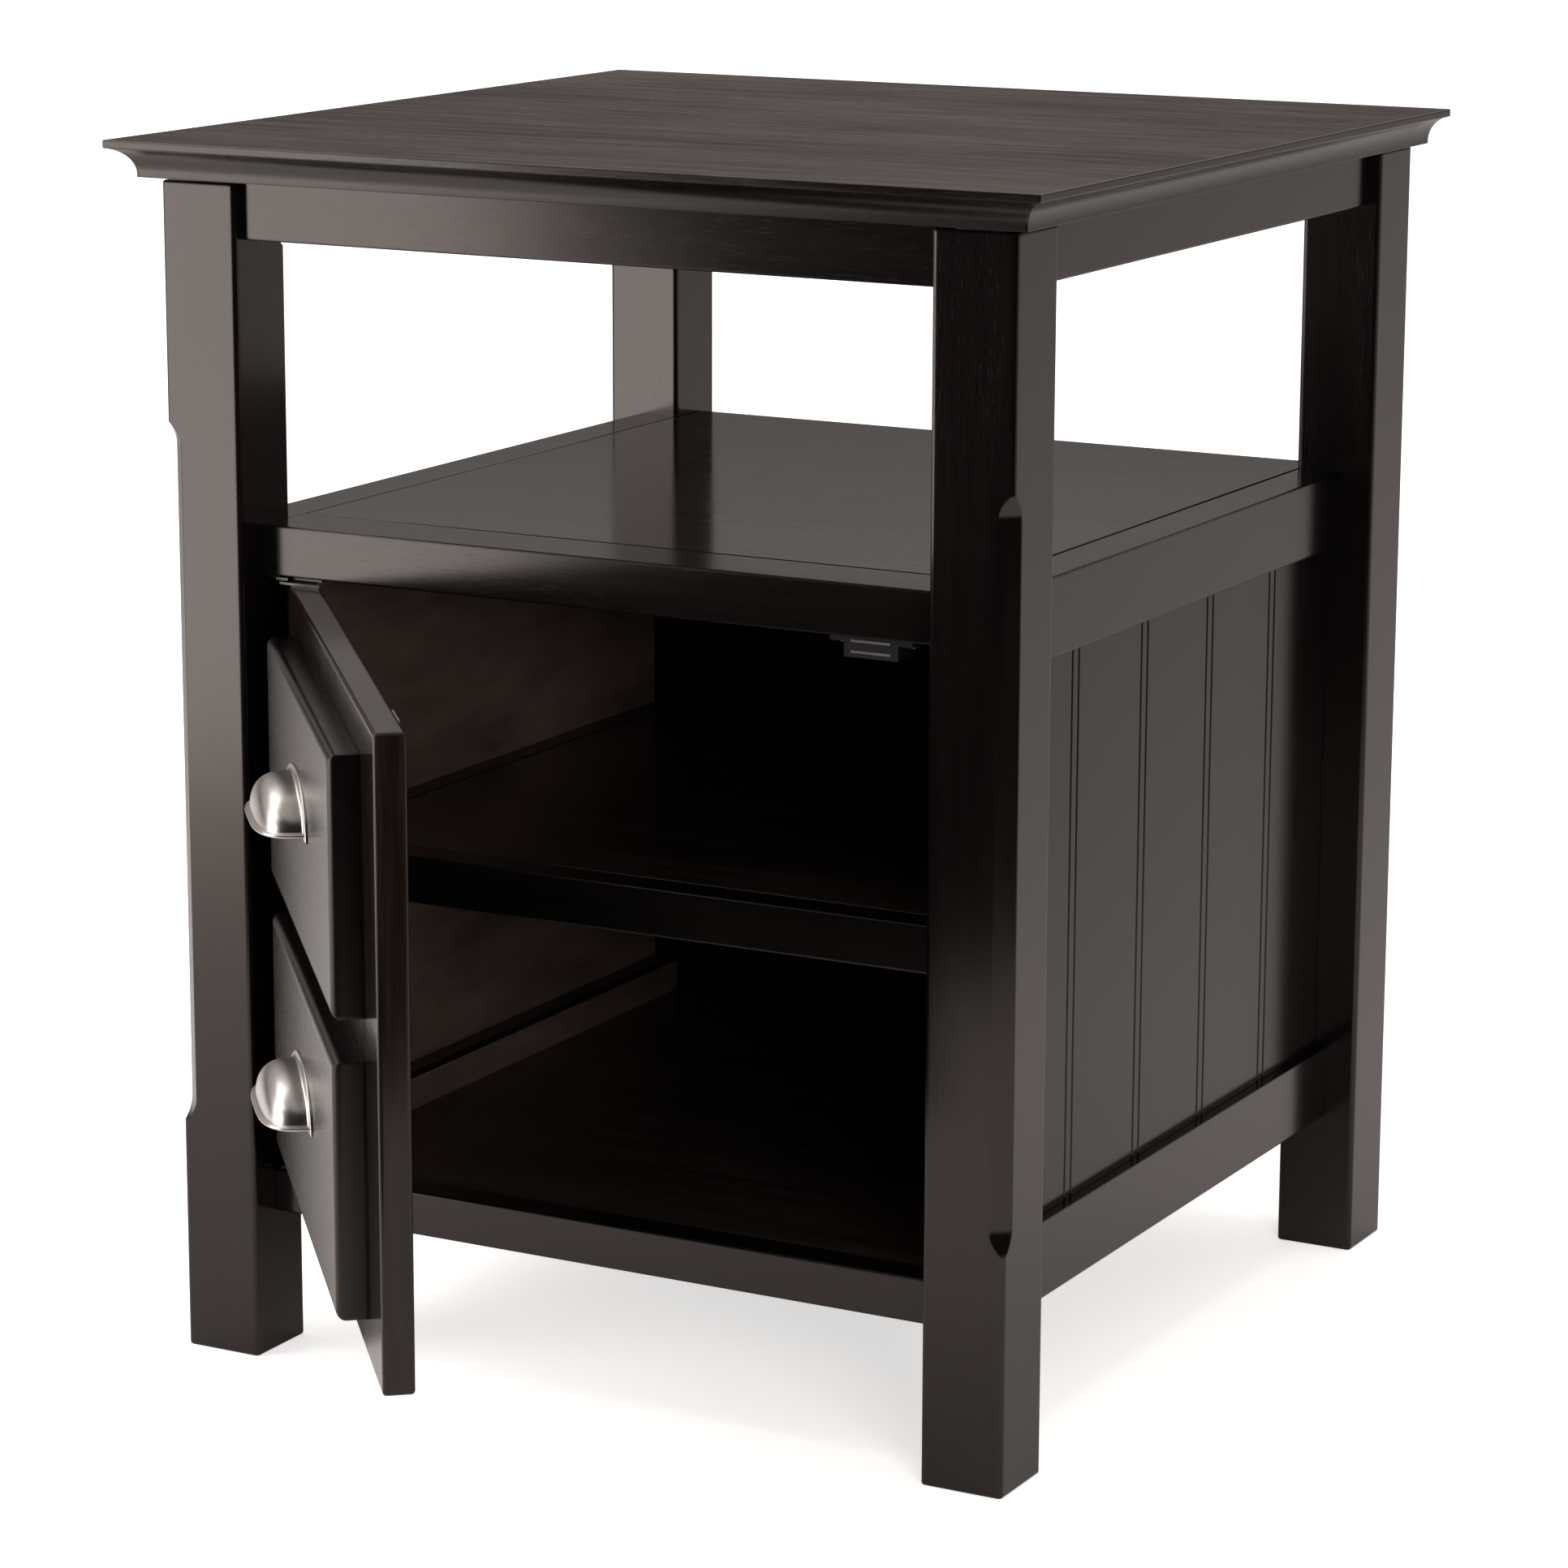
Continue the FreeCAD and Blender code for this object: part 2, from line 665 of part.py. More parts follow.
def make_bracket_screws():
    """One screw through each flange into its apron, and the pilot hole that takes it."""
    corners, head_height = on_sheet("bracket_screw_across_corners"), on_sheet("bracket_screw_head_height")
    shank, length = on_sheet("bracket_screw_shank"), on_sheet("bracket_screw_length")
    bite = length - on_sheet("bracket_thickness") + on_sheet("joint_clearance")
    pilot = shank + on_sheet("hole_clearance")
    from_leg = FLANGE_MIDDLE - on_sheet("corner_relief") / 2
    inner_x = HALF_WIDTH - on_sheet("apron_setback") - on_sheet("apron_thickness")
    inner_y = HALF_DEPTH - on_sheet("apron_setback") - on_sheet("apron_thickness")
    over = on_sheet("bracket_thickness") + head_height
    screws = []
    for _, side_x, side_y, _ in CORNERS:
        x, y = side_x * (INNER_X - from_leg), side_y * (INNER_Y - from_leg)
        starts = {
            ("y", side_y): (x, side_y * (inner_y - over), BOLT_HEIGHT),
            ("x", side_x): (side_x * (inner_x - over), y, BOLT_HEIGHT),
        }
        for way, start in starts.items():
            screws.append(hexagon_screw(start, way, corners, head_height, shank, length))
        rail = document.getObject("apron_front" if side_y < 0 else "apron_rear")
        hole = circle(rail, "XZ_Plane", x, BOLT_HEIGHT, pilot, offset=-side_y * inner_y)
        pocket(rail, hole, bite, backwards=side_y < 0)
        rail = document.getObject("apron_left" if side_x < 0 else "apron_right")
        hole = circle(rail, "YZ_Plane", y, BOLT_HEIGHT, pilot, offset=side_x * inner_x)
        pocket(rail, hole, bite, backwards=side_x > 0)
    group("bracket_screws", screws)


def make_aprons():
    low, high = APRON_LOW, TOP_UNDERSIDE
    out_x = HALF_WIDTH - on_sheet("apron_setback")
    out_y = HALF_DEPTH - on_sheet("apron_setback")
    thick = on_sheet("apron_thickness")
    board("apron_front", (-INNER_X, -out_y, low), (INNER_X, thick - out_y, high), ACROSS)
    board("apron_rear", (-INNER_X, out_y - thick, low), (INNER_X, out_y, high), ACROSS)
    board("apron_left", (-out_x, -INNER_Y, low), (thick - out_x, INNER_Y, high), DEEP)
    board("apron_right", (out_x - thick, -INNER_Y, low), (out_x, INNER_Y, high), DEEP)


# ---------------------------------------------------------------- top


def moulding_section(edge, side):
    """Corners of the cove strip under the lip, from outside inward; side is the way outward."""
    joint = edge - side * on_sheet("moulding_width")
    return [
        (edge - side * on_sheet("nose_arris_radius"), NOSE_UNDERSIDE, side * on_sheet("cove_radius")),
        (edge - side * on_sheet("cove_reach"), TOP_UNDERSIDE),
        (joint, TOP_UNDERSIDE),
        (joint, NOSE_UNDERSIDE),
    ]


def cut_mitre(body, side, towards_front):
    """Cut one 45 degree mitre at a front corner of the top."""
    width = on_sheet("moulding_width")
    spare = on_sheet("nose_height")
    outer = (side * (TOP_EDGE_X + spare), TOP_FRONT_Y - spare)
    inner = (side * (TOP_EDGE_X - width - spare), TOP_FRONT_Y + width + spare)
    waste = (inner[0], outer[1]) if towards_front else (outer[0], inner[1])
    sketch = outline(body, "XY_Plane", [outer, waste, inner], offset=TOP_UNDERSIDE)
    pocket(body, sketch, backwards=True)


def make_top():
    """One board whose thin lip covers the mitred cove strips on three sides."""
    width = on_sheet("moulding_width")
    field_x = TOP_EDGE_X - width
    body = new_body("top_panel")
    field = rectangle(-field_x, TOP_FRONT_Y + width, field_x, TOP_BACK_Y)
    pad(body, outline(body, "XY_Plane", field, offset=TOP_UNDERSIDE), on_sheet("top_thickness"))
    lip = rectangle(-TOP_EDGE_X, TOP_FRONT_Y, TOP_EDGE_X, TOP_BACK_Y)
    pad(body, outline(body, "XY_Plane", lip, offset=NOSE_UNDERSIDE), on_sheet("nose_height"))

    def nose_edge(edge):
        middle = edge.BoundBox.Center
        outermost = same(abs(middle.x), TOP_EDGE_X) or same(middle.y, TOP_FRONT_Y)
        return outermost and not same(middle.y, TOP_BACK_Y)

    round_edges(body, on_sheet("nose_arris_radius"), nose_edge)

    front = new_body("top_moulding_front")
    section = moulding_section(TOP_FRONT_Y, -1)
    pad(front, outline(front, "YZ_Plane", section), 2 * TOP_EDGE_X, both_ways=True)
    for _, side in LEFT_RIGHT:
        cut_mitre(front, side, towards_front=False)

    for name, side in LEFT_RIGHT:
        strip = new_body("top_moulding_" + name)
        section = moulding_section(side * TOP_EDGE_X, side)
        sketch = outline(strip, "XZ_Plane", section, offset=-TOP_FRONT_Y)
        pad(strip, sketch, TOP_BACK_Y - TOP_FRONT_Y, backwards=True)
        cut_mitre(strip, side, towards_front=True)


# ---------------------------------------------------------------- shelf and cabinet


def make_shelf():
    gap = on_sheet("joint_clearance")
    top = on_sheet("shelf_top_height")
    rail_back = FRONT_RAIL_Y + on_sheet("shelf_rail_depth")
    back = HALF_DEPTH - on_sheet("shelf_back_setback")
    low = (-INNER_X, FRONT_RAIL_Y, SHELF_RAIL_LOW)
    board("shelf_rail_front", low, (INNER_X, rail_back, top), ACROSS)
    board("shelf_panel", (-PANEL_X, rail_back + gap, SHELF_UNDERSIDE), (PANEL_X, back, top), ACROSS)
    low = SHELF_UNDERSIDE - on_sheet("rear_rail_height")
    board(
        "shelf_rail_rear",
        (-INNER_X, REAR_RAIL_FRONT_Y, low),
        (INNER_X, REAR_RAIL_BACK_Y, SHELF_UNDERSIDE),
        ACROSS,
    )


def ease_along(rail, level):
    """Round the edges of a side rail that run front to back at a level."""

    def chosen(edge):
        return runs_along(edge, DEEP) and same(edge.BoundBox.Center.z, level)

    round_edges(rail, on_sheet("board_arris_radius"), chosen)


def make_side(name, side):
    """Upper and lower side rails, grooved for the beaded panel between them."""
    slot_in = side * (SIDE_PANEL_IN - on_sheet("groove_clearance"))
    slot_out = side * (SIDE_PANEL_OUT + on_sheet("groove_clearance"))
    inner, outer = side * SIDE_RAIL_IN, side * SIDE_RAIL_OUT
    depth = on_sheet("panel_groove_depth")
    length = 2 * INNER_Y

    upper = new_body("side_rail_upper_" + name)
    low, top = UPPER_RAIL_LOW, on_sheet("shelf_top_height")
    corners = [
        (inner, low),
        (slot_in, low),
        (slot_in, low + depth),
        (slot_out, low + depth),
        (slot_out, low),
        (outer, low),
        (outer, top),
        (inner, top),
    ]
    pad(upper, outline(upper, "XZ_Plane", corners), length, both_ways=True)
    ease_along(upper, top)

    lower = new_body("side_rail_lower_" + name)
    low, top = on_sheet("bottom_rail_low"), LOWER_RAIL_TOP
    bevel = on_sheet("ledge_chamfer")
    corners = [
        (inner, low),
        (outer, low),
        (outer, top),
        (slot_out, top),
        (slot_out, top - depth),
        (slot_in, top - depth),
        (slot_in, top),
        (inner + side * bevel, top),
        (inner, top - bevel),
    ]
    pad(lower, outline(lower, "XZ_Plane", corners), length, both_ways=True)
    ease_along(lower, low)


def make_side_panel(name, side):
    """Thin beaded panel: pairs of vee grooves cut in its outer face, one pitch apart."""
    body = new_body("side_panel_" + name)
    inner, outer = side * SIDE_PANEL_IN, side * SIDE_PANEL_OUT
    low = LOWER_RAIL_TOP - on_sheet("panel_groove_depth")
    top = UPPER_RAIL_LOW + on_sheet("panel_groove_depth") - on_sheet("joint_clearance")
    half = INNER_Y - on_sheet("joint_clearance")
    sheet = rectangle(inner, -half, outer, half)
    pad(body, outline(body, "XY_Plane", sheet, offset=low), top - low)
    document.recompute()
    outside = outer + side * on_sheet("bead_groove_depth")
    root = outer - side * on_sheet("bead_groove_depth")
    spread = (on_sheet("bead_pairs") - 1) * on_sheet("bead_pitch")
    first_pair = -spread / 2
    cuts = []
    for line in (-0.5, 0.5):
        middle = first_pair + line * on_sheet("bead_spacing")
        width = on_sheet("bead_groove_width")
        vee = [(root, middle), (outside, middle - width), (outside, middle + width)]
        cuts.append(pocket(body, outline(body, "XY_Plane", vee, offset=low), backwards=True))
    document.recompute()
    beads = body.newObject("PartDesign::LinearPattern", body.Name + "_beads")
    beads.Originals = cuts
    beads.Direction = (origin_part(body, "Y_Axis"), [""])
    bind(beads, "Occurrences", on_sheet("bead_pairs"))
    bind(beads, "Length", spread)
    body.Tip = beads


def make_cabinet():
    gap = on_sheet("joint_clearance")
    thick = on_sheet("panel_thickness")
    low = on_sheet("bottom_rail_low")
    rail_top = on_sheet("front_bottom_rail_top_height")
    rail_back = FRONT_RAIL_Y + on_sheet("front_bottom_rail_depth")
    board("bottom_rail_front", (-INNER_X, FRONT_RAIL_Y, low), (INNER_X, rail_back, rail_top), ACROSS)
    start = (-INNER_X, REAR_RAIL_FRONT_Y, low)
    board("bottom_rail_rear", start, (INNER_X, REAR_RAIL_BACK_Y, rail_top), ACROSS)
    top = on_sheet("bottom_panel_height")
    start = (-PANEL_X, rail_back + gap, top - thick)
    board("bottom_panel", start, (PANEL_X, REAR_RAIL_FRONT_Y - gap, top), ACROSS)

    top = on_sheet("middle_shelf_height")
    low = top - on_sheet("middle_rail_height")
    front = on_sheet("middle_rail_setback") - HALF_DEPTH
    back = front + on_sheet("middle_rail_depth")
    board("middle_shelf_rail", (-INNER_X, front, low), (INNER_X, back, top), ACROSS)
    rear = REAR_RAIL_BACK_Y - gap
    board("middle_shelf", (-PANEL_X, back + gap, top - thick), (PANEL_X, rear, top), ACROSS)
    end = INNER_Y - gap
    board("middle_cleat_left", (-SIDE_PANEL_IN, -end, low), (-SIDE_RAIL_IN, end, top), DEEP)
    board("middle_cleat_right", (SIDE_RAIL_IN, -end, low), (SIDE_PANEL_IN, end, top), DEEP)

    back = new_body("back_panel")
    half = INNER_X - gap
    front, rear = REAR_RAIL_BACK_Y, REAR_RAIL_BACK_Y + on_sheet("back_panel_thickness")
    low = on_sheet("bottom_rail_low")
    sketch = outline(back, "XY_Plane", rectangle(-half, front, half, rear), offset=low)
    pad(back, sketch, SHELF_UNDERSIDE - low)
    nail_back_panel(back, rear)


def nail_back_panel(back, rear):
    """A row of headless pins through the back panel into each rear rail, and the holes for them."""
    shelf_rail_middle = SHELF_UNDERSIDE - on_sheet("rear_rail_height") / 2
    bottom_rail_middle = (on_sheet("bottom_rail_low") + on_sheet("front_bottom_rail_top_height")) / 2
    count = SIZES["panel_pins_per_rail"]
    pitch = 2 * (INNER_X - on_sheet("panel_pin_margin")) / (count - 1)
    diameter, length = on_sheet("panel_pin_diameter"), on_sheet("panel_pin_length")
    hole = diameter + on_sheet("hole_clearance")
    bite = length - on_sheet("back_panel_thickness") + on_sheet("joint_clearance")
    pins = []
    rows = (("shelf_rail_rear", shelf_rail_middle), ("bottom_rail_rear", bottom_rail_middle))
    for rail_name, level in rows:
        rail = document.getObject(rail_name)
        for index in range(count):
            x = (index - (count - 1) / 2) * pitch
            through = circle(back, "XZ_Plane", x, level, hole, offset=-rear)
            pocket(back, through, backwards=True)
            blind = circle(rail, "XZ_Plane", x, level, hole, offset=-REAR_RAIL_BACK_Y)
            pocket(rail, blind, bite, backwards=True)
            turn = DRIVEN["y", -1]
            at = (x, rear, level)
            pins.append(primitive("Part::Cylinder", at, turn, Radius=diameter / 2, Height=length))
    group("back_brads", pins)


# ---------------------------------------------------------------- magnetic catch

CATCH_X = INNER_X - on_sheet("catch_from_leg")
CATCH_FRONT_Y = (
    PIVOT_Y + SLAB_BACK + on_sheet("strike_thickness") + on_sheet("catch_gap") + on_sheet("pole_proud")
)


def make_catch():
    """Eared plastic body under the shelf rail, with two steel pole plates showing at its front."""
    body = new_body("catch_body")
    middle = CATCH_X
    half, half_ears = on_sheet("catch_body_width") / 2, on_sheet("catch_width") / 2
    top = SHELF_RAIL_LOW
    low, ears = top - on_sheet("catch_height"), top - on_sheet("catch_ear_height")
    corners = [
        (middle - half, low),
        (middle + half, low),
        (middle + half, ears),
        (middle + half_ears, ears),
        (middle + half_ears, top),
        (middle - half_ears, top),
        (middle - half_ears, ears),
        (middle - half, ears),
    ]
    sketch = outline(body, "XZ_Plane", corners, offset=-CATCH_FRONT_Y)
    pad(body, sketch, on_sheet("catch_depth"), backwards=True)

    pole_half = on_sheet("pole_width") / 2
    spare = on_sheet("groove_clearance") / 2
    slot_depth = on_sheet("pole_length") - on_sheet("pole_proud") + spare
    plates = []
    for level in (0, 1):
        plate_low = low + on_sheet("pole_low") + level * on_sheet("pole_pitch")
        plate_top = plate_low + on_sheet("pole_thickness")
        slot_half = pole_half + spare
        slot = rectangle(middle - slot_half, plate_low - spare, middle + slot_half, plate_top + spare)
        pocket(body, outline(body, "XZ_Plane", slot, offset=-CATCH_FRONT_Y), slot_depth)
        place_at = (middle - pole_half, CATCH_FRONT_Y - on_sheet("pole_proud"), plate_low)
        plates.append(
            primitive(
                "Part::Box",
                place_at,
                Length=on_sheet("pole_width"),
                Width=on_sheet("pole_length"),
                Height=on_sheet("pole_thickness"),
            )
        )
    group("catch_pole_plates", plates)
    ear_middle = (half + half_ears) / 2
    screw_y = CATCH_FRONT_Y + on_sheet("catch_depth") / 2
    shank = on_sheet("catch_screw_shank")
    screws = []
    for _, side in LEFT_RIGHT:
        x = middle + side * ear_middle
        hole = circle(body, "XY_Plane", x, screw_y, shank + 2 * on_sheet("hole_clearance"), offset=top)
        pocket(body, hole)
        head, head_height = on_sheet("catch_screw_head"), on_sheet("catch_screw_head_height")
        outer = (x, screw_y, ears - head_height)
        length = on_sheet("catch_screw_length")
        screws.append(pan_screw(outer, ("z", 1), head, head_height, shank, length))
    group("catch_screws", screws)
    return [(middle + side * ear_middle, screw_y) for _, side in LEFT_RIGHT]


def bore_rail_for_catch(places):
    """Pilot holes in the shelf rail for the catch's two screws."""
    rail = document.getObject("shelf_rail_front")
    pilot = on_sheet("catch_screw_shank") + on_sheet("hole_clearance")
    reach = on_sheet("catch_screw_length") - on_sheet("catch_ear_height") + on_sheet("joint_clearance")
    for x, y in places:
        hole = circle(rail, "XY_Plane", x, y, pilot, offset=SHELF_RAIL_LOW)
        pocket(rail, hole, reach, backwards=True)


# ---------------------------------------------------------------- door


def make_door_slab():
    low = (SLAB_START, SLAB_FACE, DOOR_LOW)
    high = (SLAB_END, SLAB_BACK, DOOR_HIGH)
    slab = board("door_slab", low, high, ACROSS, arris="door_arris_radius")
    round_edges(slab, on_sheet("door_arris_radius"), lambda edge: runs_along(edge, UPRIGHT))
    for front_low in (LOWER_FRONT_LOW, UPPER_FRONT_LOW):
        bore_for_pull_screws(slab, front_low, SLAB_BACK)
    hang_on_door(slab)


def pull_lip_level(front_low):
    """Height of a pull's lip over the floor, from the middle of its drawer front."""
    return front_low + FRONT_HEIGHT / 2 + on_sheet("pull_lip_lift")


def pull_screw_places(front_low):
    level = pull_lip_level(front_low) + on_sheet("pull_screw_height")
    half = on_sheet("pull_screw_spacing") / 2
    return [(SLAB_MIDDLE + side * half, level) for _, side in LEFT_RIGHT]


def bore_for_pull_screws(body, front_low, back):
    """Clearance holes for the two screws of a pull, through a board whose back is at y = back."""
    bore = on_sheet("pull_screw_diameter") + 2 * on_sheet("hole_clearance")
    for x, level in pull_screw_places(front_low):
        pocket(body, circle(body, "XZ_Plane", x, level, bore, offset=-back), backwards=True)


def make_false_front(name, front_low):
    """Board that looks like a drawer front, screwed to the slab, with its front edges rounded."""
    body = new_body(name)
    margin = on_sheet("front_side_margin")
    face = rectangle(SLAB_START + margin, front_low, SLAB_END - margin, front_low + FRONT_HEIGHT)
    sketch = outline(body, "XZ_Plane", face, offset=-SLAB_FACE)
    pad(body, sketch, on_sheet("front_thickness"))
    round_edges(body, on_sheet("front_arris_radius"), lambda edge: same(edge.BoundBox.YMax, FRONT_FACE))
    bore_for_pull_screws(body, front_low, SLAB_FACE)
    hang_on_door(body)


def power(base, exponent):
    base, exponent = as_size(base), as_size(exponent)
    return Size(base.number**exponent.number, f"({base.formula} ^ {exponent.formula})")


def breadth_share(level, exponent):
    """Share of the full breadth that a superellipse keeps at a share of its height."""
    return power(1 - power(level, exponent), as_size(1) / exponent)


def hood_section(half, deep, back):
    """Corners of a plan section of a hood: square at the back, with rounded front corners."""
    corner = half * deep / (half + deep) * on_sheet("pull_corner_share")
    low_x, high_x, front = SLAB_MIDDLE - half, SLAB_MIDDLE + half, FRONT_FACE - deep
    return [
        (low_x, back),
        (low_x, front + corner, corner),
        (low_x + corner, front),
        (high_x - corner, front, corner),
        (high_x, front + corner),
        (high_x, back),
    ]


def hood_form(lip, inset, back):
    """Loft of plan sections, an ellipse from the front and fuller from the side."""
    half = on_sheet("pull_width") / 2 - inset
    rise, deep = on_sheet("pull_rise") - inset, on_sheet("pull_depth") - inset
    body = document.addObject("PartDesign::Body", "hood")
    sections = []
    for level in HOOD_LEVELS:
        across = half * breadth_share(level, on_sheet("pull_arch_power"))
        reach = deep * breadth_share(level, on_sheet("pull_profile_power"))
        corners = hood_section(across, reach, back)
        sections.append(outline(body, "XY_Plane", corners, offset=lip + rise * level))
    loft = body.newObject("PartDesign::AdditiveLoft", "hood_loft")
    loft.Profile = sections[0]
    loft.Sections = sections[1:]
    return body


def pull_flange(lip):
    """Arched plate on the drawer front that the hood stands on."""
    half = on_sheet("pull_width") / 2 + on_sheet("pull_flange_side_margin")
    low = lip - on_sheet("pull_lip_drop")
    height = on_sheet("pull_rise") + on_sheet("pull_flange_top_margin") + on_sheet("pull_lip_drop")
    metal = on_sheet("pull_flange_thickness")
    centre = (SLAB_MIDDLE, FRONT_FACE, low)
    arch = primitive("Part::Ellipsoid", centre, DRIVEN["y", 1], Radius1=10 * metal, Radius2=half)
    bind(arch, "Radius3", height)
    at = (SLAB_MIDDLE - half, FRONT_FACE - metal, low)
    plate = primitive("Part::Box", at, Length=2 * half, Width=metal, Height=height)
    return boolean("Part::Common", plate, arch)


def pull_rim(lip):
    """Rolled rim round the open side of the hood."""
    half = on_sheet("pull_width") / 2 + on_sheet("pull_rim_flare")
    deep = on_sheet("pull_depth") + on_sheet("pull_rim_flare")
    body = document.addObject("PartDesign::Body", "rim")
    sketch = outline(body, "XY_Plane", hood_section(half, deep, FRONT_FACE), offset=lip)
    pad(body, sketch, on_sheet("pull_rim_height"))

    def outer(edge):
        return same(edge.BoundBox.ZLength, 0) and not same(edge.BoundBox.Center.y, FRONT_FACE)

    round_edges(body, on_sheet("pull_rim_radius"), outer)
    return body


def make_cup_pull(name, front_low):
    """Half-moon hood with a rolled rim on an arched flange, hollow and open below."""
    lip, wall = pull_lip_level(front_low), on_sheet("pull_wall_thickness")
    hood = hood_form(lip, as_size(0), FRONT_FACE)
    hollow = hood_form(lip, wall, FRONT_FACE + wall)
    shell = boolean("Part::Cut", fused([hood, pull_flange(lip), pull_rim(lip)]), hollow)
    lay_down = DRIVEN["y", -1]
    posts, bores = [], []
    for x, level in pull_screw_places(front_low):
        at = (x, FRONT_FACE, level)
        radius, deep = on_sheet("pull_post_diameter") / 2, on_sheet("pull_depth")
        post = primitive("Part::Cylinder", at, lay_down, Radius=radius, Height=deep)
        posts.append(boolean("Part::Common", post, hood))
        radius = (on_sheet("pull_screw_diameter") + on_sheet("hole_clearance")) / 2
        reach = on_sheet("pull_screw_bite") + on_sheet("joint_clearance")
        bores.append(primitive("Part::Cylinder", at, lay_down, Radius=radius, Height=reach))
    pull = boolean("Part::Cut", fused([shell] + posts), fused(bores), name)
    keep(pull, name)
    hang_on_door(pull)


def make_pull_screws():
    """Four machine screws from behind the slab into the posts of the pulls."""
    head, head_height = on_sheet("screw_head_diameter"), on_sheet("screw_head_height")
    shank = on_sheet("pull_screw_diameter")
    length = on_sheet("door_thickness") + on_sheet("front_thickness") + on_sheet("pull_screw_bite")
    screws = []
    for front_low in (LOWER_FRONT_LOW, UPPER_FRONT_LOW):
        for x, level in pull_screw_places(front_low):
            outer = (x, SLAB_BACK + head_height, level)
            screws.append(pan_screw(outer, ("y", -1), head, head_height, shank, length))
    hang_on_door(group("pull_screws", screws))


def make_strike():
    half = on_sheet("strike_width") / 2
    middle = CATCH_X - PIVOT_X
    high = DOOR_HIGH - on_sheet("door_arris_radius")
    strike = new_body("strike_plate")
    face = rectangle(middle - half, high - on_sheet("strike_height"), middle + half, high)
    sketch = outline(strike, "XZ_Plane", face, offset=-SLAB_BACK)
    pad(strike, sketch, on_sheet("strike_thickness"), backwards=True)
    hang_on_door(strike)


# ---------------------------------------------------------------- pivot hinges


def make_leaf(name, corners, level, screw_places, screw_face):
    """Flat leaf, countersunk for its screws from the screw_face level."""
    body = new_body(name)
    pad(body, outline(body, "XY_Plane", corners, offset=level), on_sheet("leaf_thickness"))
    hole = on_sheet("hinge_screw_shank") + 2 * on_sheet("hole_clearance")
    for x, y in screw_places:
        pocket(body, circle(body, "XY_Plane", x, y, hole, offset=level), backwards=True)

    def rim(edge):
        round_hole = hasattr(edge.Curve, "Radius") and same(edge.Curve.Radius, hole / 2)
        return round_hole and same(edge.BoundBox.Center.z, screw_face)

    depth = (on_sheet("hinge_screw_head") - on_sheet("hinge_screw_shank")) / 2
    bind(dress_edges(body, "Chamfer", rim), "Size", depth)
    return body


def frame_leaf_outline():
    """Corners round the pivot, with an ear for the pin that stands out in front of the rail."""
    ear, reach = on_sheet("ear_width") / 2, on_sheet("ear_reach")
    start, length = on_sheet("frame_leaf_start"), on_sheet("frame_leaf_length")
    offsets = [
        (-ear, -reach),
        (ear, -reach),
        (ear, 0),
        (length - start, 0),
        (length - start, on_sheet("leaf_width")),
        (-start, on_sheet("leaf_width")),
        (-start, 0),
        (-ear, 0),
    ]
    return [(PIVOT_X + x, PIVOT_Y + y) for x, y in offsets]


def door_leaf_outline():
    """Corners in the door's frame: an ear at the pivot and a slanted end."""
    ear, reach = on_sheet("ear_width") / 2, on_sheet("ear_reach")
    start, length = on_sheet("door_leaf_start"), on_sheet("door_leaf_length")
    face = SLAB_FACE + on_sheet("door_arris_radius")
    back = SLAB_BACK - on_sheet("pivot_proud")
    return [
        (-ear, -reach),
        (ear, -reach),
        (length - start - on_sheet("door_leaf_slant"), face),
        (length - start, back),
        (-start, back),
        (-start, face),
        (-ear, face),
    ]


def leaf_screw_places(first_x, y):
    """The two screws of a leaf, one pitch apart."""
    return [(first_x, y), (first_x + on_sheet("hinge_screw_pitch"), y)]


def bore_for_leaf(rail, level, places, upwards):
    """Pilot holes for a leaf's screws, up or down into the board that carries it."""
    pilot = on_sheet("hinge_screw_shank") + on_sheet("hole_clearance")
    reach = on_sheet("hinge_screw_length") - on_sheet("leaf_thickness") + on_sheet("joint_clearance")
    for x, y in places:
        pocket(rail, circle(rail, "XY_Plane", x, y, pilot, offset=level), reach, backwards=upwards)


def make_frame_leaf(name, rail_name, rail_face, up):
    """Leaf screwed to a rail and bored for the pin. Up is towards the rail that carries it."""
    thick = on_sheet("leaf_thickness")
    level = rail_face - thick if up else rail_face
    screw_face = level if up else level + thick
    first_x = PIVOT_X - on_sheet("frame_leaf_start") + on_sheet("frame_screw_start")
    places = leaf_screw_places(first_x, PIVOT_Y + on_sheet("leaf_width") / 2)
    body = make_leaf(name, frame_leaf_outline(), level, places, screw_face)
    bore = on_sheet("pin_diameter") + 2 * on_sheet("pin_clearance")
    pocket(body, circle(body, "XY_Plane", PIVOT_X, PIVOT_Y, bore, offset=level), backwards=True)
    bore_for_leaf(document.getObject(rail_name), rail_face, places, upwards=up)
    return [flat_screw((x, y, screw_face), ("z", 1 if up else -1)) for x, y in places]


def make_door_leaf(name, slab_face, leaf_to_leaf, up):
    """Leaf on an end of the slab, with its collar and pin pointing at the rail."""
    thick = on_sheet("leaf_thickness")
    level = slab_face if up else slab_face - thick
    screw_face = level + thick if up else level
    first_x = on_sheet("door_screw_start") - on_sheet("door_leaf_start")
    places = leaf_screw_places(first_x, (SLAB_FACE + SLAB_BACK) / 2 + on_sheet("pivot_proud"))
    body = make_leaf(name, door_leaf_outline(), level, places, screw_face)
    collar = circle(body, "XY_Plane", 0, 0, on_sheet("collar_diameter"), offset=screw_face)
    pad(body, collar, leaf_to_leaf - on_sheet("pin_clearance"), backwards=not up)
    pin = circle(body, "XY_Plane", 0, 0, on_sheet("pin_diameter"), offset=screw_face)
    pad(body, pin, leaf_to_leaf + thick - on_sheet("pin_clearance"), backwards=not up)
    hang_on_door(body)
    bore_for_leaf(document.getObject("door_slab"), slab_face, places, upwards=not up)
    return [flat_screw((x, y, screw_face), ("z", -1 if up else 1)) for x, y in places]


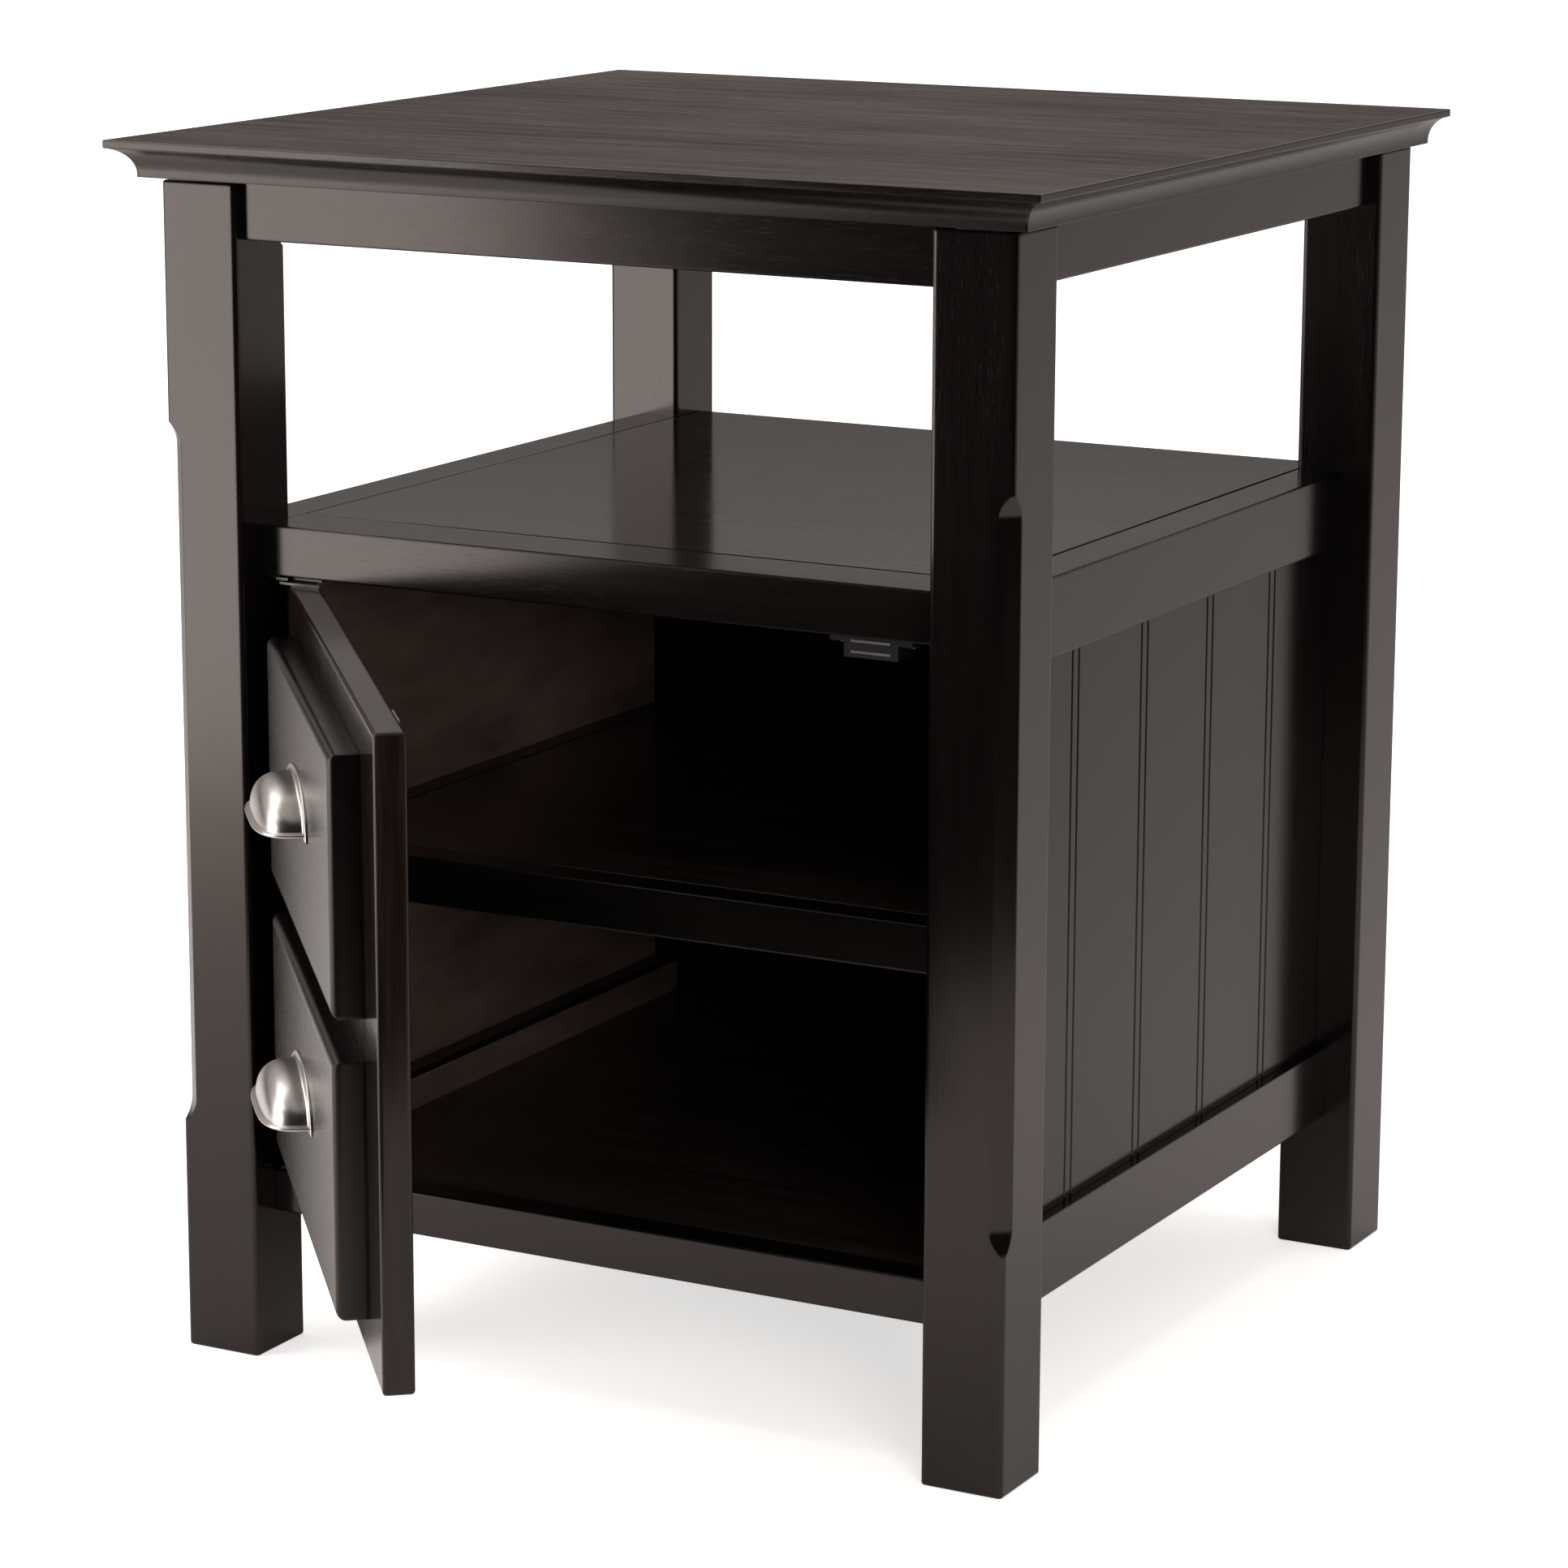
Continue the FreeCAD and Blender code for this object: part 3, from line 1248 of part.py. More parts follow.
def make_hinges():
    rail_top = on_sheet("front_bottom_rail_top_height")
    screws = make_frame_leaf("hinge_upper_frame_leaf", "shelf_rail_front", SHELF_RAIL_LOW, up=True)
    screws += make_frame_leaf("hinge_lower_frame_leaf", "bottom_rail_front", rail_top, up=False)
    group("hinge_frame_screws", screws)
    both = 2 * on_sheet("leaf_thickness")
    high, low = DOOR_HIGH, DOOR_LOW
    screws = make_door_leaf("hinge_upper_door_leaf", high, SHELF_RAIL_LOW - high - both, up=True)
    screws += make_door_leaf("hinge_lower_door_leaf", low, low - rail_top - both, up=False)
    hang_on_door(group("hinge_door_screws", screws))


# ---------------------------------------------------------------- build, check and write


def check_model():
    """Stop when an object failed, a shape is empty or invalid, or a pocket removed nothing."""
    faults = []
    for item in document.Objects:
        if "Invalid" in item.State or "Error" in item.State:
            faults.append(f"{item.Label} failed: {item.State}")
        elif item.TypeId == "PartDesign::Pocket":
            before = item.BaseFeature.Shape
            if before.isNull() or item.Shape.Volume >= before.Volume - SAME_WITHIN:
                faults.append(f"{item.Label} cuts nothing")
    for item in nodes:
        if item.Shape.isNull() or not item.Shape.isValid() or not item.Shape.Solids:
            faults.append(f"{item.Label} has no valid solid")
    if faults:
        raise RuntimeError("; ".join(faults))


def write_steps():
    os.makedirs("parts", exist_ok=True)
    for item in nodes:
        item.Shape.exportStep(f"parts/{item.Label}.step")
        print(item.Label, len(item.Shape.Solids), round(item.Shape.Volume, 1))


def build():
    make_sheet()
    for corner in CORNERS:
        make_leg(*corner)
        make_corner_bracket(*corner)
    make_corner_fasteners()
    make_aprons()
    make_bracket_screws()
    make_top()
    make_shelf()
    for name, side in LEFT_RIGHT:
        make_side(name, side)
        make_side_panel(name, side)
    make_cabinet()
    bore_rail_for_catch(make_catch())
    make_door_slab()
    make_false_front("false_front_lower", LOWER_FRONT_LOW)
    make_false_front("false_front_upper", UPPER_FRONT_LOW)
    make_cup_pull("cup_pull_lower", LOWER_FRONT_LOW)
    make_cup_pull("cup_pull_upper", UPPER_FRONT_LOW)
    make_pull_screws()
    make_strike()
    make_hinges()
    document.recompute()
    check_model()
    write_steps()


build()
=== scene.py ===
"""Looks of the storage side table: lacquered wood, nickel pulls, studio floor, lamps and camera."""

import math
from typing import NamedTuple

import bmesh
import bpy
from mathutils import Matrix, Vector


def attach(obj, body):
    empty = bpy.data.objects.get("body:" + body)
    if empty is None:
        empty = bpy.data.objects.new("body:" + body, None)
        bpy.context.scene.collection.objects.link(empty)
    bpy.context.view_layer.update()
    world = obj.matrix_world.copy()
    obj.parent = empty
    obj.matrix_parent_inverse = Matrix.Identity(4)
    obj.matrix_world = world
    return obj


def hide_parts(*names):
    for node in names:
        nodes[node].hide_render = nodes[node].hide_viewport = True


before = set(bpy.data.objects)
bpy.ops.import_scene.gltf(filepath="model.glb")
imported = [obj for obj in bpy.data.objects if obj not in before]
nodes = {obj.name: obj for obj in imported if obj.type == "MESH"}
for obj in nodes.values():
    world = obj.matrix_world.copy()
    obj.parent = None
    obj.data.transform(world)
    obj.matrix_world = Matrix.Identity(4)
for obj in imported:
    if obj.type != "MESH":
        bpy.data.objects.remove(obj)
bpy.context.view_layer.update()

# ---------------------------------------------------------------- camera, in metres

IMAGE_SIDE = 1932.0
FOCAL_PIXELS = 6156.0
SENSOR_MM = 36.0
NEAREST_SEEN = 0.05
FARTHEST_SEEN = 200.0
CAMERA_PLACE = (1.233, -2.306, 0.870)
CAMERA_YAW = math.radians(28.41)
CAMERA_PITCH = math.radians(12.68)
CAMERA_ROLL = math.radians(-0.19)


def make_camera():
    """A long lens from the right, looking a little down."""
    lens = bpy.data.cameras.new("camera")
    lens.sensor_width = SENSOR_MM
    lens.lens = FOCAL_PIXELS / IMAGE_SIDE * SENSOR_MM
    lens.clip_start = NEAREST_SEEN
    lens.clip_end = FARTHEST_SEEN
    camera = bpy.data.objects.new("camera", lens)
    bpy.context.scene.collection.objects.link(camera)
    level = Matrix.Rotation(math.pi / 2 - CAMERA_PITCH, 4, "X")
    turned = Matrix.Rotation(CAMERA_YAW, 4, "Z") @ level @ Matrix.Rotation(-CAMERA_ROLL, 4, "Z")
    camera.matrix_world = Matrix.Translation(CAMERA_PLACE) @ turned
    bpy.context.scene.camera = camera


# ---------------------------------------------------------------- shader helpers


def add_node(tree, kind, settings=None, **inputs):
    """Adds a shader node. Each input is a plain value or the socket that feeds it.

    An input is named by its label, with _ for a space, or by its number after a _.
    """
    made = tree.nodes.new(kind)
    for name, value in (settings or {}).items():
        setattr(made, name, value)
    for name, value in inputs.items():
        key = int(name[1:]) if name[0] == "_" else name.replace("_", " ")
        socket = made.inputs[key]
        if isinstance(value, bpy.types.NodeSocket):
            tree.links.new(value, socket)
        else:
            socket.default_value = value
    return made


def new_material(name):
    """An empty node material, with its tree and its shader."""
    material = bpy.data.materials.new(name)
    material.use_nodes = True
    tree = material.node_tree
    tree.nodes.clear()
    shader = tree.nodes.new("ShaderNodeBsdfPrincipled")
    output = tree.nodes.new("ShaderNodeOutputMaterial")
    tree.links.new(shader.outputs["BSDF"], output.inputs["Surface"])
    return material, tree, shader


# the middle of a ramp, and of the values that a noise field gives
MIDDLE = 0.5


def ramp(tree, source, stops):
    """A ramp of greys over the source, as (place, grey) stops."""
    made = add_node(tree, "ShaderNodeValToRGB", Fac=source)
    elements = made.color_ramp.elements
    while len(elements) < len(stops):
        elements.new(MIDDLE)
    for element, (place, grey) in zip(elements, stops):
        element.position = place
        element.color = (grey, grey, grey, 1.0)
    return made.outputs["Color"]


def arithmetic(tree, operation, first, second, third=None):
    """One sum of two or three values."""
    values = {"_0": first, "_1": second}
    if third is not None:
        values["_2"] = third
    return add_node(tree, "ShaderNodeMath", {"operation": operation}, **values).outputs[0]


MIX_FACTOR, MIX_FIRST, MIX_SECOND = 0, 6, 7
MIX_COLOUR_RESULT = 2


def blend_colours(tree, factor, first, second, mode="MIX"):
    """A mix of two colours."""
    made = add_node(tree, "ShaderNodeMix", {"data_type": "RGBA", "blend_type": mode})
    for index, value in ((MIX_FACTOR, factor), (MIX_FIRST, first), (MIX_SECOND, second)):
        if isinstance(value, bpy.types.NodeSocket):
            tree.links.new(value, made.inputs[index])
        elif index == MIX_FACTOR:
            made.inputs[index].default_value = value
        else:
            made.inputs[index].default_value = (*value, 1.0)
    return made.outputs[MIX_COLOUR_RESULT]


def scaled(colour, share):
    """The colour with each channel times the share."""
    return tuple(channel * share for channel in colour)


def fading(tree, value, start, end, first, last):
    """Goes smoothly from first to last as the value goes from start to end."""
    return add_node(tree, "ShaderNodeMapRange", {"interpolation_type": "SMOOTHSTEP"}, Value=value,
                    _1=start, _2=end, _3=first, _4=last).outputs[0]


def seen_rays(tree, kinds):
    """One where the ray is of any of the kinds, else nought."""
    path = add_node(tree, "ShaderNodeLightPath")
    total = path.outputs[kinds[0]]
    for kind in kinds[1:]:
        total = arithmetic(tree, "MAXIMUM", total, path.outputs[kind])
    return total


def noise(tree, place, scale, detail, roughness, distortion=0.0):
    """A noise field over the given place vector."""
    return add_node(tree, "ShaderNodeTexNoise", Vector=place, Scale=scale, Detail=detail,
                    Roughness=roughness, Distortion=distortion).outputs["Fac"]


def drawn_out(tree, place, along, across, detail, roughness, distortion=0.0, scale=1.0):
    """A noise field with one scale along the grain, the place vector's X, and another across it."""
    stretched = add_node(tree, "ShaderNodeMapping", {"vector_type": "POINT"}, Vector=place,
                         Scale=(along, across, across)).outputs["Vector"]
    return noise(tree, stretched, scale, detail, roughness, distortion)


def coordinate_part(tree, kind, part):
    """One of the three parts of a texture coordinate."""
    source = add_node(tree, "ShaderNodeTexCoord").outputs[kind]
    return add_node(tree, "ShaderNodeSeparateXYZ", Vector=source).outputs[part]


# ---------------------------------------------------------------- door and grain directions

# the door at rest, in degrees from closed, and the foot of its pivot in metres
DOOR_OPEN = 50.3
PIVOT = (-0.1815, -0.22475, 0.0)

GRAIN_TURNS = {
    "x": (0.0, 0.0, 0.0),
    "y": (0.0, 0.0, -math.pi / 2),
    "z": (0.0, math.pi / 2, 0.0),
    "door": (0.0, 0.0, math.radians(DOOR_OPEN)),
}


def grain_place(tree, axis):
    """Object space, in metres, turned so that the grain runs along its X."""
    source = add_node(tree, "ShaderNodeTexCoord").outputs["Object"]
    return add_node(tree, "ShaderNodeMapping", {"vector_type": "POINT"}, Vector=source,
                    Rotation=GRAIN_TURNS[axis]).outputs["Vector"]


# ---------------------------------------------------------------- wood

# darkest and lightest colour of each stain
SOLID_STAIN = ((0.0012, 0.0011, 0.0012), (0.0042, 0.0033, 0.0031))
VENEER_STAIN = ((0.0030, 0.0021, 0.0018), (0.0140, 0.0092, 0.0072))
# painted light: a lighter stain for the top's upward faces, where the light falls
TOP_STAIN_PAINTED_LIGHTER = ((0.0078, 0.0054, 0.0048), (0.0400, 0.0225, 0.0180))
# painted light: a lighter copy of the veneer for the shelves in the shaded inside of the cabinet
SHELTERED_STAIN_PAINTED_LIGHTER = ((0.0095, 0.0068, 0.0058), (0.0300, 0.0215, 0.0180))
# a thin stain on inner faces, made much lighter as painted light for the inside of the cabinet
INSIDE_STAIN_AND_PAINTED_LIGHT = ((0.0400, 0.0275, 0.0240), (0.0860, 0.0590, 0.0500))
BOARD_STAIN = ((0.0030, 0.0022, 0.0019), (0.0080, 0.0055, 0.0046))
LACQUER_TINT = (1.0, 0.91, 0.875)

# grain fields: scale along the grain and across it, detail, roughness, distortion
TONE_FIELD = (1.2, 5.0, 2.0, 0.5)
STREAK_FIELD = (5.0, 90.0, 5.0, 0.62, 0.25)
FIBRE_FIELD = (40.0, 900.0, 3.0, 0.6)
PORE_FIELD = (150.0, 2600.0, 1.0, 0.4)
PORE_PATCH_FIELD = (6.0, 40.0, 2.0, 0.5)
# the mottle of the inner faces' thin stain and painted light
INSIDE_STAIN_AND_LIGHT_FIELD = (11.0, 36.0, 5.0, 0.6)
RUBBED_FIELD = (25.0, 60.0, 3.0, 0.5)
# fields that are the same every way: scale, detail, roughness
WEAR_FIELD = (9.0, 4.0, 0.55)
WAVE_FIELD = (14.0, 2.0, 0.5)

# where each field turns into its pattern
PORE_STOPS = [(0.62, 0.0), (0.72, 1.0)]
PORE_PATCH_STOPS = [(0.35, 0.25), (0.65, 1.0)]
FIBRE_STOPS = [(0.3, 0.72), (0.7, 1.25)]
INSIDE_STAIN_AND_LIGHT_STOPS = [(0.3, 0.0), (0.7, 1.0)]
ARRIS_STOPS = [(0.80, 1.0), (0.985, 0.0)]
RUBBED_STOPS = [(0.40, 0.0), (0.75, 1.0)]

TONE_SHARE = 0.45
STREAK_SHARE = 0.55
PORE_DARKER = 0.25
FACES_UP = 0.5
RUBBED_LIGHTER = 5.0
RUBBED_SHARE = 0.40
ARRIS_SAMPLES = 4

WEAR_DULLING = 0.06
WEAR_MIDDLE = 0.04
PORE_DULLING = 0.10

STREAK_RELIEF = 0.35
FIBRE_RELIEF = 0.4
PORE_RELIEF = -0.2
GRAIN_STRENGTH = 0.30
WAVE_STRENGTH = 0.15
WAVE_HEIGHT = 0.0003


class Wood(NamedTuple):
    """The stain and lacquer of one family of boards. Lengths are in metres.

    streaks is how gently the figure goes from dark to light, pores how strong the pores are,
    dull_streaks how much duller the light streaks are, ripple the height of the grain's relief,
    arris the rounding of the edges, level the strength of the gloss and fineness the scale of the
    streaks. Faces nearer the middle of the table than inside have a thin stain that is made much
    lighter, partly as painted light for the inside of the cabinet. Faces that look up have a
    lighter stain upward: painted light falling on the top.
    """

    name: str
    axis: str
    stain: tuple
    roughness: float
    streaks: float
    pores: float
    dull_streaks: float = 0.03
    ripple: float = 0.0001
    arris: float = 0.0013
    level: float = 0.5
    fineness: float = 1.0
    inside: float = None
    upward: tuple = None


def stain_colour(tree, wood, figure, fibre, pores):
    """The stain over the figure, the fibre and the pores, before any wear."""
    dark, light = wood.stain
    colour = blend_colours(tree, figure, dark, light)
    # upward faces take a lighter stain: painted light falling on the top
    if wood.upward:
        up = coordinate_part(tree, "Normal", "Z")
        field = blend_colours(tree, figure, *wood.upward)
        colour = blend_colours(tree, arithmetic(tree, "GREATER_THAN", up, FACES_UP), colour, field)
    colour = blend_colours(tree, 1.0, colour, ramp(tree, fibre, FIBRE_STOPS), "MULTIPLY")
    filled = arithmetic(tree, "MULTIPLY", pores, wood.pores)
    colour = blend_colours(tree, filled, colour, scaled(dark, PORE_DARKER))
    # inner faces take a thin stain, lightened as painted light for the inside of the cabinet
    if wood.inside:
        across = arithmetic(tree, "ABSOLUTE", coordinate_part(tree, "Object", "X"), 0.0)
        outer = arithmetic(tree, "GREATER_THAN", across, wood.inside)
        cloudy = drawn_out(tree, grain_place(tree, "y"), *INSIDE_STAIN_AND_LIGHT_FIELD)
        bare = blend_colours(tree, ramp(tree, cloudy, INSIDE_STAIN_AND_LIGHT_STOPS), *INSIDE_STAIN_AND_PAINTED_LIGHT)
        colour = blend_colours(tree, outer, bare, colour)
    return colour


def rub_arrises(tree, place, wood, soft_normal, colour):
    """Lightens the colour in patches along the arrises."""
    normal = add_node(tree, "ShaderNodeNewGeometry").outputs["Normal"]
    facing = add_node(tree, "ShaderNodeVectorMath", {"operation": "DOT_PRODUCT"},
                      _0=soft_normal, _1=normal).outputs["Value"]
    rubbed = ramp(tree, drawn_out(tree, place, *RUBBED_FIELD), RUBBED_STOPS)
    worn = arithmetic(tree, "MULTIPLY", ramp(tree, facing, ARRIS_STOPS), rubbed)
    bare = scaled(wood.stain[1], RUBBED_LIGHTER)
    return blend_colours(tree, arithmetic(tree, "MULTIPLY", worn, RUBBED_SHARE), colour, bare)


def make_wood(wood):
    """Stained, lacquered wood: slow tone, streaks, figure, open pores, rubbed arrises."""
    material, tree, shader = new_material(wood.name)
    place = grain_place(tree, wood.axis)
    tone = drawn_out(tree, place, *TONE_FIELD)
    streak = drawn_out(tree, place, *STREAK_FIELD, scale=wood.fineness)
    fibre = drawn_out(tree, place, *FIBRE_FIELD)
    pore = ramp(tree, drawn_out(tree, place, *PORE_FIELD), PORE_STOPS)
    patch = ramp(tree, drawn_out(tree, place, *PORE_PATCH_FIELD), PORE_PATCH_STOPS)
    pores = arithmetic(tree, "MULTIPLY", pore, patch)
    mixed = arithmetic(tree, "MULTIPLY_ADD", tone, TONE_SHARE,
                       arithmetic(tree, "MULTIPLY", streak, STREAK_SHARE))
    figure = ramp(tree, mixed, [(MIDDLE - wood.streaks, 0.0), (MIDDLE + wood.streaks, 1.0)])

    soft_normal = add_node(tree, "ShaderNodeBevel", {"samples": ARRIS_SAMPLES},
                           Radius=wood.arris).outputs["Normal"]
    colour = stain_colour(tree, wood, figure, fibre, pores)
    colour = rub_arrises(tree, place, wood, soft_normal, colour)
    tree.links.new(colour, shader.inputs["Base Color"])

    wear = noise(tree, place, *WEAR_FIELD)
    gloss = arithmetic(tree, "MULTIPLY_ADD", wear, WEAR_DULLING, wood.roughness - WEAR_MIDDLE)
    gloss = arithmetic(tree, "MULTIPLY_ADD", pores, PORE_DULLING, gloss)
    gloss = arithmetic(tree, "MULTIPLY_ADD", figure, wood.dull_streaks, gloss)
    tree.links.new(gloss, shader.inputs["Roughness"])
    shader.inputs["Specular Tint"].default_value = (*LACQUER_TINT, 1.0)
    shader.inputs["Specular IOR Level"].default_value = wood.level

    relief = arithmetic(tree, "MULTIPLY_ADD", streak, STREAK_RELIEF,
                        arithmetic(tree, "MULTIPLY", fibre, FIBRE_RELIEF))
    relief = arithmetic(tree, "MULTIPLY_ADD", pores, PORE_RELIEF * wood.pores, relief)
    grain = add_node(tree, "ShaderNodeBump", Strength=GRAIN_STRENGTH, Distance=wood.ripple,
                     Height=relief, Normal=soft_normal).outputs["Normal"]
    waves = add_node(tree, "ShaderNodeBump", Strength=WAVE_STRENGTH, Distance=WAVE_HEIGHT,
                     Height=noise(tree, place, *WAVE_FIELD), Normal=grain).outputs["Normal"]
    tree.links.new(waves, shader.inputs["Normal"])
    return material


# ---------------------------------------------------------------- metal and plastic

BRUSH_FIELD = (60.0, 5000.0, 3.0, 0.6)
METAL_CLOUD_FIELD = (60.0, 4.0, 0.55)
METAL_CLOUD_STOPS = [(0.35, 0.0), (0.65, 1.0)]
SPECK_FIELD = (900.0, 2.0, 0.5)
BRUSH_DULLING = 0.12
BRUSH_MIDDLE = 0.06
SPECK_DULLING = 0.05
SPECK_RELIEF = 0.3
METAL_STRENGTH = 0.35
METAL_HEIGHT = 0.00004


def make_metal(name, colour, roughness, brush_axis, brushed, tint):
    """Plated metal with fine brushing, slow cloudiness and patches as dark as the tint.

    brushed is the height of the brushing in the relief.
    """
    material, tree, shader = new_material(name)
    place = grain_place(tree, brush_axis)
    lines = drawn_out(tree, place, *BRUSH_FIELD)
    cloud = ramp(tree, noise(tree, place, *METAL_CLOUD_FIELD), METAL_CLOUD_STOPS)
    speck = noise(tree, place, *SPECK_FIELD)
    base = blend_colours(tree, cloud, scaled(colour, tint), colour)
    tree.links.new(base, shader.inputs["Base Color"])
    shader.inputs["Metallic"].default_value = 1.0
    gloss = arithmetic(tree, "MULTIPLY_ADD", lines, BRUSH_DULLING, roughness - BRUSH_MIDDLE)
    gloss = arithmetic(tree, "MULTIPLY_ADD", speck, SPECK_DULLING, gloss)
    tree.links.new(gloss, shader.inputs["Roughness"])
    height = arithmetic(tree, "MULTIPLY_ADD", lines, brushed,
                        arithmetic(tree, "MULTIPLY", speck, SPECK_RELIEF))
    bump = add_node(tree, "ShaderNodeBump", Strength=METAL_STRENGTH, Distance=METAL_HEIGHT,
                    Height=height)
    tree.links.new(bump.outputs["Normal"], shader.inputs["Normal"])
    return material


MOULD_FIELD = (2200.0, 2.0, 0.5)
PLASTIC_CLOUD_FIELD = (50.0, 3.0, 0.5)
PLASTIC_LIGHTER = 1.9
PLASTIC_ROUGHNESS = 0.36
PLASTIC_DULLING = 0.15
PLASTIC_STRENGTH = 0.3
PLASTIC_HEIGHT = 0.00005


def make_plastic(name, colour):
    """Moulded black plastic with a fine texture."""
    material, tree, shader = new_material(name)
    place = grain_place(tree, "x")
    fine = noise(tree, place, *MOULD_FIELD)
    cloud = noise(tree, place, *PLASTIC_CLOUD_FIELD)
    base = blend_colours(tree, cloud, colour, scaled(colour, PLASTIC_LIGHTER))
    tree.links.new(base, shader.inputs["Base Color"])
    gloss = arithmetic(tree, "MULTIPLY_ADD", cloud, PLASTIC_DULLING, PLASTIC_ROUGHNESS)
    tree.links.new(gloss, shader.inputs["Roughness"])
    bump = add_node(tree, "ShaderNodeBump", Strength=PLASTIC_STRENGTH, Distance=PLASTIC_HEIGHT,
                    Height=fine)
    tree.links.new(bump.outputs["Normal"], shader.inputs["Normal"])
    return material


# ---------------------------------------------------------------- cup pulls, in millimetres
# Along the door from the middle of the slab, out from the drawer front and up from the pull's lip.

MM = 0.001
SLAB_MIDDLE = 181.5
FRONT_FACE = -14.25
PULL_LIPS = {"upper": 330.0, "lower": 187.0}

HOOD_HALF_WIDTH = 42.2
HOOD_RISE = 22.0
HOOD_DEPTH = 21.4
HOOD_WALL = 1.3
PLAN_POWER = 3.4
PROFILE_POWER = 3.0
ROUND_STEPS = 72
BACK_STEPS = 10
FRONT_STEPS = 26
# share of the hood's depth where the rings go from even steps to even turns
KNEE = 0.7
FILLET = 1.6
FILLET_SHARES = (0.08, 0.2, 0.4, 0.65, 1.0)

RIM_STEPS = 96
# the rolled rim in section: how far outside the wall, how far above the lip
RIM_SECTION = [(-1.2, 0.0), (0.6, 0.0), (1.5, 0.15), (2.05, 0.5), (2.2, 1.0), (2.05, 1.5),
               (1.5, 1.85), (0.9, 2.0), (0.35, 2.15), (0.0, 2.6), (-1.2, 2.6)]

FLANGE_HALF_WIDTH = 48.5
FLANGE_DROP = 1.5
FLANGE_HEIGHT = 26.6
FLANGE_THICKNESS = 1.2
# the flange's rounded edge in section: how far out, how far in from the edge
FLANGE_SECTION = ((0.0, 0.0), (0.55, 0.0), (0.85, 0.1), (1.08, 0.32), (FLANGE_THICKNESS, 0.7))

POST_RADIUS = 3.5
POST_WAIST = 0.97
POST_SPACING = 50.0
POST_LEVEL = 10.0
POST_STEPS = 24
POST_SHORTENING = 0.2
POST_ROOM = 0.98

MERGE_DISTANCE = 0.0005
SHARP_ANGLE = math.radians(42)


def superellipse(share, power):
    """The other coordinate of a superellipse of unit half axes."""
    return max(0.0, 1.0 - share ** power) ** (1.0 / power)


def dome_rings(inset, flare):
    """Arches from the drawer front to the tip, as rows of (along, out, up)."""
    half, rise, deep = HOOD_HALF_WIDTH - inset, HOOD_RISE - inset, HOOD_DEPTH - inset
    depths = [0.0, FLANGE_THICKNESS]
    if flare:
        depths += [FLANGE_THICKNESS + FILLET * share for share in FILLET_SHARES]
    start = depths[-1]
    depths += [start + (KNEE * deep - start) * step / BACK_STEPS for step in range(1, BACK_STEPS)]
    widest = superellipse(KNEE, PLAN_POWER)
    for step in range(FRONT_STEPS):
        depths.append(deep * superellipse(widest * (1 - step / FRONT_STEPS), PLAN_POWER))
    rings = []
    for out in depths:
        reach = half * superellipse(out / deep, PLAN_POWER)
        height = rise * superellipse(out / deep, PROFILE_POWER)
        gap = max(0.0, FLANGE_THICKNESS + FILLET - max(out, FLANGE_THICKNESS)) / FILLET
        swell = FILLET * (1.0 - math.sqrt(1.0 - gap * gap)) if flare else 0.0
        ring = []
        for step in range(ROUND_STEPS + 1):
            turn = math.pi * step / ROUND_STEPS
            ring.append(((reach + swell) * math.cos(turn), out, (height + swell) * math.sin(turn)))
        rings.append(ring)
    rings.append([(0.0, deep, 0.0)] * (ROUND_STEPS + 1))
    return rings


def lay_grid(mesh, rings):
    """Adds rows of points and the faces between them. Returns the rows of vertices."""
    rows = [[mesh.verts.new(point) for point in ring] for ring in rings]
    for low, high in zip(rows, rows[1:]):
        for index in range(len(low) - 1):
            mesh.faces.new((low[index], low[index + 1], high[index + 1], high[index]))
    return rows


def lay_closed_grid(mesh, rings):
    """Adds closed rings, the faces between them and a cap on the first and the last."""
    rows = lay_grid(mesh, [ring + [ring[0]] for ring in rings])
    mesh.faces.new(rows[0][:-1])
    mesh.faces.new(rows[-1][:-1])


def lay_shell(mesh):
    """The hood: its outer and inner skins, joined at the drawer front and along the lip."""
    outer = lay_grid(mesh, dome_rings(0.0, True))
    inner = lay_grid(mesh, dome_rings(HOOD_WALL, False))
    outer_back, inner_back = outer[0], inner[0]
    for index in range(ROUND_STEPS):
        mesh.faces.new((outer_back[index], inner_back[index],
                        inner_back[index + 1], outer_back[index + 1]))
    for side in (0, ROUND_STEPS):
        outside, inside = [row[side] for row in outer], [row[side] for row in inner]
        longer, shorter = len(outside) - 1, len(inside) - 1
        here, there = 0, 0
        while here < longer or there < shorter:
            if there == shorter or (here < longer and here * shorter <= there * longer):
                mesh.faces.new((outside[here], outside[here + 1], inside[there]))
                here += 1
            else:
                mesh.faces.new((outside[here], inside[there + 1], inside[there]))
                there += 1


def lay_rim(mesh):
    """The rolled rim, swept round the plan of the lip."""
    path = []
    for step in range(RIM_STEPS + 1):
        turn = math.pi * step / RIM_STEPS
        side = 1.0 if turn <= math.pi / 2 else -1.0
        along = side * HOOD_HALF_WIDTH * abs(math.cos(turn)) ** (2 / PLAN_POWER)
        path.append(Vector((along, HOOD_DEPTH * math.sin(turn) ** (2 / PLAN_POWER), 0.0)))
    rings = []
    for index, point in enumerate(path):
        run = path[min(index + 1, RIM_STEPS)] - path[max(index - 1, 0)]
        aside = Vector((run.y, -run.x, 0.0)).normalized()
        if index in (0, RIM_STEPS):
            aside = Vector((1.0 if index == 0 else -1.0, 0.0, 0.0))
        rings.append([tuple(point + aside * out + Vector((0.0, 0.0, up)))
                      for out, up in RIM_SECTION])
    lay_closed_grid(mesh, rings)


def lay_flange(mesh):
    """The arched plate against the drawer front, with a rounded edge."""
    rings = []
    for out, inset in FLANGE_SECTION:
        ring = []
        for step in range(ROUND_STEPS + 1):
            turn = math.pi * step / ROUND_STEPS
            along = (FLANGE_HALF_WIDTH - inset) * math.cos(turn)
            up = inset + (FLANGE_HEIGHT - 2 * inset) * math.sin(turn) - FLANGE_DROP
            ring.append((along, out, up))
        rings.append(ring)
    lay_closed_grid(mesh, rings)


